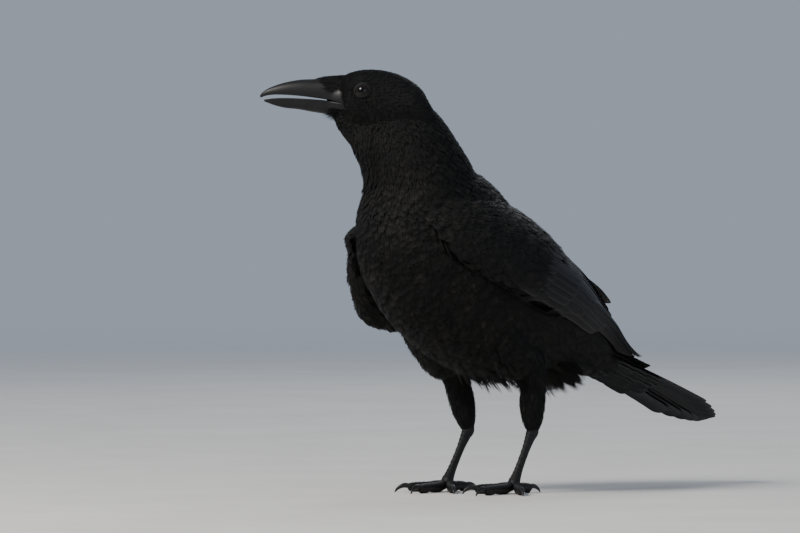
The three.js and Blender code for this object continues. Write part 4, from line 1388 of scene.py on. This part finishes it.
def add_tail_coverts(shape, tier, reach, lifts, droop, count=7):
    """A row of soft feathers over or under the tail's root. Its outer tips droop by so much."""
    out = np.linspace(-15, 15, count) * (1 - 0.06 * tier) + rng.normal(0, 0.6, count)
    reach = reach - 14 * tier - 0.03 * out**2 + rng.normal(0, 2, count)
    root = np.stack([np.full(count, 22 - 9.0 * tier), out * 0.9], -1)
    tip = np.stack([reach, out * 1.05], -1)
    lifts = np.array(lifts) + rng.normal(0, 0.15, (count, 1))
    lifts[:, 1] -= droop * np.abs(out)
    uv = np.stack([0.2 + root[:, 0] / 300, 0.5 + out / 60], -1)
    add_vanes(
        shape, tail_surface, root, tip, np.full((count, 2), 5.4), lifts, rng.random(count), uv,
        np.zeros(count), thick=0.5, soft=0.6, tilt=0.02, notch=0.15, rows=22, columns=7,
    )


def make_tail_coverts():
    """The tail's fleshy root, and the feathers over and under it."""
    shape = Shape()
    along = np.linspace(-8, 62, 30)
    wide, thick = track([[-8, 14, 8], [20, 17, 5.6], [45, 17, 3.6], [62, 13, 1.6]])(along).T[..., None]
    angle = np.linspace(0, 2 * np.pi, 28, endpoint=False)
    rings = tail_surface(along[:, None], np.cos(angle) * wide, np.sin(angle) * thick - 2.6)
    add_tube(shape, rings, *poles(rings), tone=0.3, soft=0.6)
    for tier in range(4):
        add_tail_coverts(shape, tier, 84, (-5.5, -5.6 - 0.4 * tier), -0.03)
    for tier in range(4):
        add_tail_coverts(shape, tier, 70, (0, 2.2 + 0.5 * tier), 0.03)
    shape.piece("tail_coverts", PLUMAGE, "plumage", crease=50)


# ---------- legs ----------
SHANK_SCUTES = (0.4, 4.6, 11)  # first station, last station, count


def scute_relief(first, last, count, rise):
    """Plates across the front that rise towards their lower edge."""
    def relief(station, angle):
        place = (station - first) / (last - first) * count
        inside = (place >= 0) & (place <= count)
        part = place - np.floor(place)
        step = np.where(part < 0.9, part / 0.9, (1 - part) / 0.1)
        return np.where(inside, rise * step * smooth_step(-0.25, 0.25, rise_of(angle)), 0.0)

    return relief


def scute_stations(first, last, count):
    """Stations that follow each plate and the step at its edge."""
    parts = np.array([0.02, 0.2, 0.4, 0.6, 0.8, 0.9, 0.96, 0.995])
    return (first + (np.arange(count)[:, None] + parts) / count * (last - first)).ravel()


def shank_rows(shin, heel, foot):
    return [
        [-1, *between(heel, shin, 0.14), 0, 3, 3.4, 3.4],
        [0, *heel, 0, 3.9, 4.6, 4.6],
        [1, *between(heel, foot, 0.14), 0, 3, 3.7, 3.7],
        [2, *between(heel, foot, 0.35), 0, 2.3, 3, 2.9],
        [3, *between(heel, foot, 0.65), 0, 2.3, 3, 2.9],
        [4, *between(heel, foot, 0.85), 0, 3, 3.4, 3.5],
        [5, *foot, 0, 4.6, 4.2, 4.6],
        [6, foot[0], foot[1] - 1, foot[2] - 2.6, 0, 4, 3.4, 3.6],
    ]


def make_legs():
    plates = scute_stations(*SHANK_SCUTES)
    stations = np.concatenate([[-1, -0.6, -0.2, 0.1, 0.3], plates, [4.8, 5.1, 5.4, 5.7, 6]])
    for name, leg in LEGS.items():
        rows = shank_rows(leg["shin"], leg["heel"], leg["foot"])
        shape = Shape()
        add_loft(shape, rows, 36, stations, relief=scute_relief(*SHANK_SCUTES, 0.3))
        shape.piece(f"shank_{name}", LEG, "leg", [f"tarsus_{name}"], crease=40)
        for kind, turn, length, start in TOES[name]:
            rows = toe_rows(leg["foot"], kind == "hind", turn, length, start)
            make_toe(f"{kind}_{name}", kind, rows)
            make_claw(f"{kind}_{name}", kind, rows[-1][1:4], turn)


def rows_ahead(origin, turn, places):
    """Rows of sections ahead of an origin. places are rows of forward, height, wide, up, down."""
    rows = []
    for station, (forward, height, *sizes) in enumerate(places):
        x, y, _ = origin + ahead_of(turn) * forward
        rows.append([station, x, y, height, turn, *sizes])
    return rows


def toe_rows(foot, hind, turn, length, start):
    return rows_ahead(np.array(foot) + [start, 0, 0], turn, [
        [0.5 if hind else 1, GROUND + 5.2, TOE_RADIUS * 0.9, 2.8, 2.8],
        [5, GROUND + 4.9, TOE_RADIUS, 3, 3.4],
        [length * 0.35, GROUND + 4.2, TOE_RADIUS, 3, 4.6],
        [length * 0.62, GROUND + (4.4 if hind else 4.2), TOE_RADIUS * 0.9, 2.7, 3.5],
        [length * 0.85, GROUND + 4, TOE_RADIUS * 0.86, 2.6, 4.5],
        [length, GROUND + 3.8, TOE_RADIUS * 0.66, 2, 2.6],
    ])


def make_toe(name, kind, rows):
    """A toe with plates above and pads below."""
    scutes = (1.1, 4.7, {"middle": 11, "hind": 6}.get(kind, 8))
    plates = scute_relief(*scutes, 0.28)

    def relief(station, angle):
        under = smooth_step(0.2, 0.9, -rise_of(angle))
        pads = under * 0.18 * np.sin(station * 19) * np.sin(np.radians(angle) * 14)
        return plates(station, angle) + pads

    shape = Shape()
    stations = np.concatenate([[0, 0.3, 0.6, 0.9], scute_stations(*scutes), [4.8, 4.9, 5]])
    add_loft(shape, rows, 32, stations, relief=relief)
    shape.press()
    shape.piece(f"toe_{name}_skin", LEG, "leg", [f"toe_{name}"], crease=40)


def make_claw(name, kind, end, turn):
    """A claw that curves down from the end of its toe."""
    x, y, z = end
    reach = 11.5 if kind == "hind" else 9.5
    rows = rows_ahead(np.array([x, y, 0]), turn, [
        [-2.2, z + 0.2, 1.5, 1.7, 1.7],
        [reach * 0.2, z + 0.9, 1.5, 1.7, 1.9],
        [reach * 0.5, z + 0.4, 1.2, 1.4, 1.6],
        [reach * 0.8, z - 1.3, 0.8, 1, 1.1],
        [reach, z - 3.7, 0.35, 0.4, 0.4],
    ])
    shape = Shape()
    add_loft(shape, rows, 18, np.linspace(0, 4, 22))
    shape.press()
    shape.piece(f"claw_{name}_horn", CLAW, "claw", [f"claw_{name}"], crease=60)


# ---------- materials ----------
class Nodes:
    """A material's node tree, with short ways to add to it."""

    def __init__(self, name):
        self.material = bpy.data.materials.new(name)
        self.material.use_nodes = True
        self.tree = self.material.node_tree
        self.shader = next(n for n in self.tree.nodes if n.type == "BSDF_PRINCIPLED")

    def new(self, kind, **settings):
        node = self.tree.nodes.new(kind)
        for key, value in settings.items():
            if key in node.inputs:
                node.inputs[key].default_value = value
            else:
                setattr(node, key, value)
        return node

    def feed(self, value, socket):
        """Give a socket another node's output, a colour or a number."""
        if isinstance(value, bpy.types.NodeSocket):
            self.tree.links.new(value, socket)
        elif isinstance(value, tuple):
            socket.default_value = (*value, 1)
        else:
            socket.default_value = value

    def set(self, **inputs):
        for key, value in inputs.items():
            self.feed(value, self.shader.inputs[key.replace("_", " ")])

    def value(self, name):
        return self.new("ShaderNodeAttribute", attribute_name=name).outputs["Fac"]

    def place(self):
        return self.new("ShaderNodeTexCoord").outputs["Object"]

    def math(self, operation, *values):
        node = self.new("ShaderNodeMath", operation=operation)
        for socket, value in zip(node.inputs, (*values, 0.0, 0.0)):
            self.feed(value, socket)
        return node.outputs[0]

    def ramp(self, factor, *stops):
        node = self.new("ShaderNodeValToRGB")
        ramp = node.color_ramp
        while len(ramp.elements) < len(stops):
            ramp.elements.new(0.5)
        for element, (place, colour) in zip(ramp.elements, stops):
            element.position = place
            element.color = (*colour, 1)
        self.feed(factor, node.inputs["Fac"])
        return node.outputs["Color"]

    def noise(self, scale, detail=3.0, rough=0.55, coordinates=None):
        node = self.new("ShaderNodeTexNoise", Scale=scale, Detail=detail, Roughness=rough)
        self.feed(coordinates or self.place(), node.inputs["Vector"])
        return node.outputs["Fac"]

    def mix_colour(self, factor, a, b):
        node = self.new("ShaderNodeMix", data_type="RGBA")
        share = next(s for s in node.inputs if s.name == "Factor" and s.type == "VALUE")
        colours = [s for s in node.inputs if s.type == "RGBA"]
        for value, socket in zip((factor, a, b), (share, *colours)):
            self.feed(value, socket)
        return next(s for s in node.outputs if s.type == "RGBA")

    def bump(self, height, strength, distance):
        node = self.new("ShaderNodeBump", Strength=strength, Distance=distance)
        self.feed(height, node.inputs["Height"])
        self.set(Normal=node.outputs["Normal"])


def barbs(nodes, lines, slant=0.35, spread=1.5):
    """Fine lines that run outward and forward from the shaft to the feather's edge."""
    across = nodes.math("ABSOLUTE", nodes.value("across"))
    place = nodes.math("SUBTRACT", nodes.value("along"), nodes.math("MULTIPLY", across, slant))
    grain = nodes.new("ShaderNodeCombineXYZ")
    values = ((place, lines), (across, spread), (nodes.value("tone"), 40.0))
    for socket, (value, scale) in zip(grain.inputs, values):
        nodes.feed(nodes.math("MULTIPLY", value, scale), socket)
    return nodes.noise(1.0, 2, 0.6, grain.outputs[0])


# The light ends of these ramps give the feathers' own lighter tones at random, and painted highlight at the
# neck and cheek.
FIRM_COLOURS = ((0, (0.0032, 0.0032, 0.0036)), (0.3, (0.006, 0.006, 0.0065)), (1, (0.024, 0.0225, 0.02)))
DOWNY_COLOURS = ((0, (0.0032, 0.003, 0.0028)), (0.3, (0.0065, 0.006, 0.005)), (1, (0.034, 0.03, 0.023)))
LEG_COLOURS = ((0.35, (0.005, 0.005, 0.0055)), (0.62, (0.01, 0.0095, 0.0095)), (0.8, (0.025, 0.023, 0.021)))
EYE_COLOURS = (
    (0, (0.001, 0.001, 0.001)), (0.42, (0.001, 0.001, 0.001)), (0.46, (0.008, 0.0045, 0.003)),
    (0.7, (0.006, 0.004, 0.003)), (0.9, (0.003, 0.0025, 0.0025)),
)


def plumage_material():
    nodes = Nodes("plumage")
    soft, tone, along = nodes.value("soft"), nodes.value("tone"), nodes.value("along")
    patches = nodes.math("MULTIPLY_ADD", nodes.noise(34, 3), 1.6, -0.5)
    streaks = nodes.math("MULTIPLY_ADD", barbs(nodes, 5, 0.1, 9), 2.4, -0.9)
    # light: lightness from the tone, which carries painted highlight at the neck and cheek.
    light = nodes.math("MULTIPLY", nodes.math("MULTIPLY_ADD", patches, 0.5, streaks), tone)
    firm, downy = nodes.ramp(light, *FIRM_COLOURS), nodes.ramp(light, *DOWNY_COLOURS)
    rough = nodes.math("MULTIPLY_ADD", soft, 0.2, nodes.math("MULTIPLY_ADD", tone, 0.1, 0.46))
    rough = nodes.math("ADD", rough, nodes.math("MULTIPLY", along, -0.04))
    nodes.bump(nodes.math("MULTIPLY_ADD", nodes.noise(2400, 2), 0.6, barbs(nodes, 30)), 0.6, 0.0004)
    nodes.set(Base_Color=nodes.mix_colour(soft, firm, downy), Roughness=rough, Specular_IOR_Level=0.16)
    nodes.set(Sheen_Weight=0.02, Sheen_Roughness=0.4, Sheen_Tint=(0.75, 0.78, 0.9))
    return nodes.material


def flight_material():
    nodes = Nodes("flight_feathers")
    across = nodes.math("ABSOLUTE", nodes.value("across"))
    colour = nodes.ramp(nodes.value("tone"), (0, (0.004, 0.004, 0.0045)), (1, (0.008, 0.008, 0.009)))
    # Painted highlight: each web is painted lighter towards its edge, in place of the light caught by the
    # overlapping feather edges.
    edge = nodes.math("POWER", across, 7.0)
    colour = nodes.mix_colour(nodes.math("MULTIPLY", edge, 0.7), colour, (0.06, 0.056, 0.052))
    shaft = nodes.math("LESS_THAN", across, 0.05)
    colour = nodes.mix_colour(nodes.math("MULTIPLY", shaft, 0.5), colour, (0.016, 0.015, 0.014))
    worn = nodes.math("MULTIPLY_ADD", edge, 0.15, 0.46)
    rough = nodes.math("MULTIPLY_ADD", nodes.noise(90, 4), 0.16, worn)
    nodes.bump(nodes.math("MULTIPLY_ADD", nodes.noise(900, 2), 0.4, barbs(nodes, 120, 0.14)), 0.5, 0.00035)
    nodes.set(Base_Color=colour, Roughness=rough, Specular_IOR_Level=0.2)
    nodes.set(Sheen_Weight=0.02, Sheen_Roughness=0.35, Sheen_Tint=(0.6, 0.65, 1.0))
    return nodes.material


def horn_material(name, scale, colours, rough, gloss):
    nodes = Nodes(name)
    growth, fine = nodes.noise(scale, 5, 0.6), nodes.noise(scale * 9, 4, 0.7)
    nodes.bump(nodes.math("ADD", fine, nodes.math("MULTIPLY", growth, 0.6)), 0.25, 0.0002)
    colour = nodes.ramp(growth, (0.3, colours[0]), (0.7, colours[1]))
    rough = nodes.math("MULTIPLY_ADD", fine, 0.22, rough)
    nodes.set(Base_Color=colour, Roughness=rough, Specular_IOR_Level=gloss)
    return nodes.material


def leg_material():
    nodes = Nodes("leg_skin")
    cells = nodes.new("ShaderNodeTexVoronoi", Scale=900.0)
    nodes.feed(nodes.place(), cells.inputs["Vector"])
    worn = nodes.noise(220, 4)
    nodes.bump(nodes.math("ADD", cells.outputs["Distance"], nodes.noise(1500, 3)), 0.4, 0.0003)
    rough = nodes.math("MULTIPLY_ADD", worn, 0.3, 0.4)
    nodes.set(Base_Color=nodes.ramp(worn, *LEG_COLOURS), Roughness=rough, Specular_IOR_Level=0.26)
    return nodes.material


def eye_material():
    nodes = Nodes("eye")
    ring = nodes.math("MULTIPLY_ADD", nodes.noise(1400, 3), 0.12, nodes.value("polar"))
    colour = nodes.ramp(nodes.math("DIVIDE", ring, 1.2), *EYE_COLOURS)
    nodes.set(Base_Color=colour, Roughness=0.1, Specular_IOR_Level=0.1)
    nodes.set(Coat_Weight=0.6, Coat_Roughness=0.03, Coat_IOR=1.34)
    return nodes.material


def mottled(name, scale, detail, colours, rough, gloss):
    """Nodes of a dull material whose colour wanders between two."""
    nodes = Nodes(name)
    colour = nodes.ramp(nodes.noise(scale, detail), (0.3, colours[0]), (0.7, colours[1]))
    nodes.set(Base_Color=colour, Roughness=rough, Specular_IOR_Level=gloss)
    return nodes


def lid_material():
    nodes = mottled("lid", 900, 3, [(0.005, 0.005, 0.0055), (0.014, 0.0135, 0.0135)], 0.6, 0.2)
    nodes.bump(nodes.noise(3000, 3), 0.3, 0.0002)
    return nodes.material


def skin_material():
    nodes = mottled("skin", 60, 4, [(0.003, 0.003, 0.0035), (0.005, 0.005, 0.005)], 0.85, 0.1)
    nodes.bump(nodes.noise(700, 3), 0.5, 0.0006)
    return nodes.material


PLUMAGE = plumage_material()
FLIGHT = flight_material()
HORN = horn_material("bill_horn", 110, [(0.006, 0.006, 0.0065), (0.011, 0.0105, 0.0105)], 0.3, 0.26)
CLAW = horn_material("claw_horn", 240, [(0.005, 0.005, 0.0055), (0.011, 0.0105, 0.0105)], 0.24, 0.35)
LEG = leg_material()
EYE = eye_material()
LID = lid_material()
SKIN = skin_material()

# ---------- camera, floor and light ----------
AZIMUTH, ELEVATION = math.radians(50), math.radians(1)
PIXELS_PER_MM = 1.45
IMAGE_WIDTH = 800
VIEW_CENTRE = (-55.2, 161.0)  # millimetres right of and above the bird's own origin, in the view's plane
CAMERA_DISTANCE = 5000.0
SENSOR = 36.0


def make_camera():
    level = math.cos(ELEVATION)
    back = np.array([math.sin(AZIMUTH) * level, -math.cos(AZIMUTH) * level, math.sin(ELEVATION)])
    right = np.array([math.cos(AZIMUTH), math.sin(AZIMUTH), 0])
    up = np.cross(back, right)
    target = right * VIEW_CENTRE[0] + up * VIEW_CENTRE[1] + SHIFT
    data = bpy.data.cameras.new("camera")
    data.sensor_width = SENSOR
    data.lens = SENSOR * CAMERA_DISTANCE * PIXELS_PER_MM / IMAGE_WIDTH
    data.clip_start, data.clip_end = 0.1, 200
    camera = put("camera", data)
    camera.location = Vector((target + back * CAMERA_DISTANCE) * MM)
    camera.rotation_mode = "QUATERNION"
    camera.rotation_quaternion = Vector(-back).to_track_quat("-Z", "Y")
    bpy.context.scene.camera = camera


LIGHTS = [  # name, place, size, power, colour
    ["key", (0.0, -1.9, 1.8), 0.9, 62, (1.0, 0.96, 0.9)],
    ["fill", (2.6, -0.6, 0.9), 1.8, 10, (0.9, 0.95, 1.0)],
    ["rim", (-1.4, 2.0, 1.8), 1.2, 16, (0.95, 0.97, 1.0)],
]
LIT_POINT = (0, 0, 0.16)
WORLD_COLOUR, WORLD_STRENGTH = (0.50, 0.57, 0.68), 0.62
FLOOR_REACH = 40.0  # metres
FLOOR_FADE = (0.8, 5.0)  # metres from the bird over which the floor turns into the background


def make_light(name, place, size, power, colour):
    data = bpy.data.lights.new(name, "AREA")
    data.shape = "DISK"
    data.size = size
    data.energy = power
    data.color = colour
    light = put(name, data)
    light.location = place
    light.rotation_mode = "QUATERNION"
    light.rotation_quaternion = (Vector(LIT_POINT) - Vector(place)).to_track_quat("-Z", "Y")


def fade_to_world(nodes):
    """Let the floor run into the background, so that no horizon shows."""
    away = nodes.new("ShaderNodeVectorMath", operation="LENGTH")
    nodes.feed(nodes.place(), away.inputs[0])
    share = nodes.new("ShaderNodeMapRange", interpolation_type="SMOOTHERSTEP")
    share.inputs["From Min"].default_value, share.inputs["From Max"].default_value = FLOOR_FADE
    nodes.feed(away.outputs["Value"], share.inputs["Value"])
    glow = nodes.new("ShaderNodeEmission", Color=(*WORLD_COLOUR, 1), Strength=WORLD_STRENGTH)
    blend = nodes.new("ShaderNodeMixShader")
    mixed = (share.outputs["Result"], nodes.shader.outputs[0], glow.outputs[0])
    for value, socket in zip(mixed, blend.inputs):
        nodes.feed(value, socket)
    output = next(n for n in nodes.tree.nodes if n.type == "OUTPUT_MATERIAL")
    nodes.feed(blend.outputs[0], output.inputs["Surface"])


def make_stage():
    mesh = bpy.data.meshes.new("floor")
    corners = [(x * FLOOR_REACH, y * FLOOR_REACH, 0) for x, y in ((-1, -1), (1, -1), (1, 1), (-1, 1))]
    mesh.from_pydata(corners, [], [(0, 1, 2, 3)])
    floor = put("floor", mesh)
    nodes = mottled("floor", 9, 3, [(0.66, 0.64, 0.61), (0.72, 0.70, 0.67)], 0.9, 0.1)
    mesh.materials.append(nodes.material)
    fade_to_world(nodes)
    world = bpy.data.worlds.new("studio")
    world.use_nodes = True
    background = world.node_tree.nodes["Background"]
    background.inputs["Color"].default_value = (*WORLD_COLOUR, 1)
    background.inputs["Strength"].default_value = WORLD_STRENGTH
    bpy.context.scene.world = world
    for light in LIGHTS:
        make_light(*light)


# ---------- assembly ----------
make_camera()
make_stage()
skin_surface = Surface(make_skin())
arms = {wing: make_arm(wing) for wing in SIDES}
make_coat(skin_surface, Lie(), [arm.tree for arm in arms.values()])
make_fluff(skin_surface)
make_bill()
make_bristles(skin_surface)
make_eyes()
for wing, arm in arms.items():
    make_wing(wing)
    make_wing_coat(wing, arm, skin_surface.tree)
make_tail_feathers()
make_tail_coverts()
make_legs()
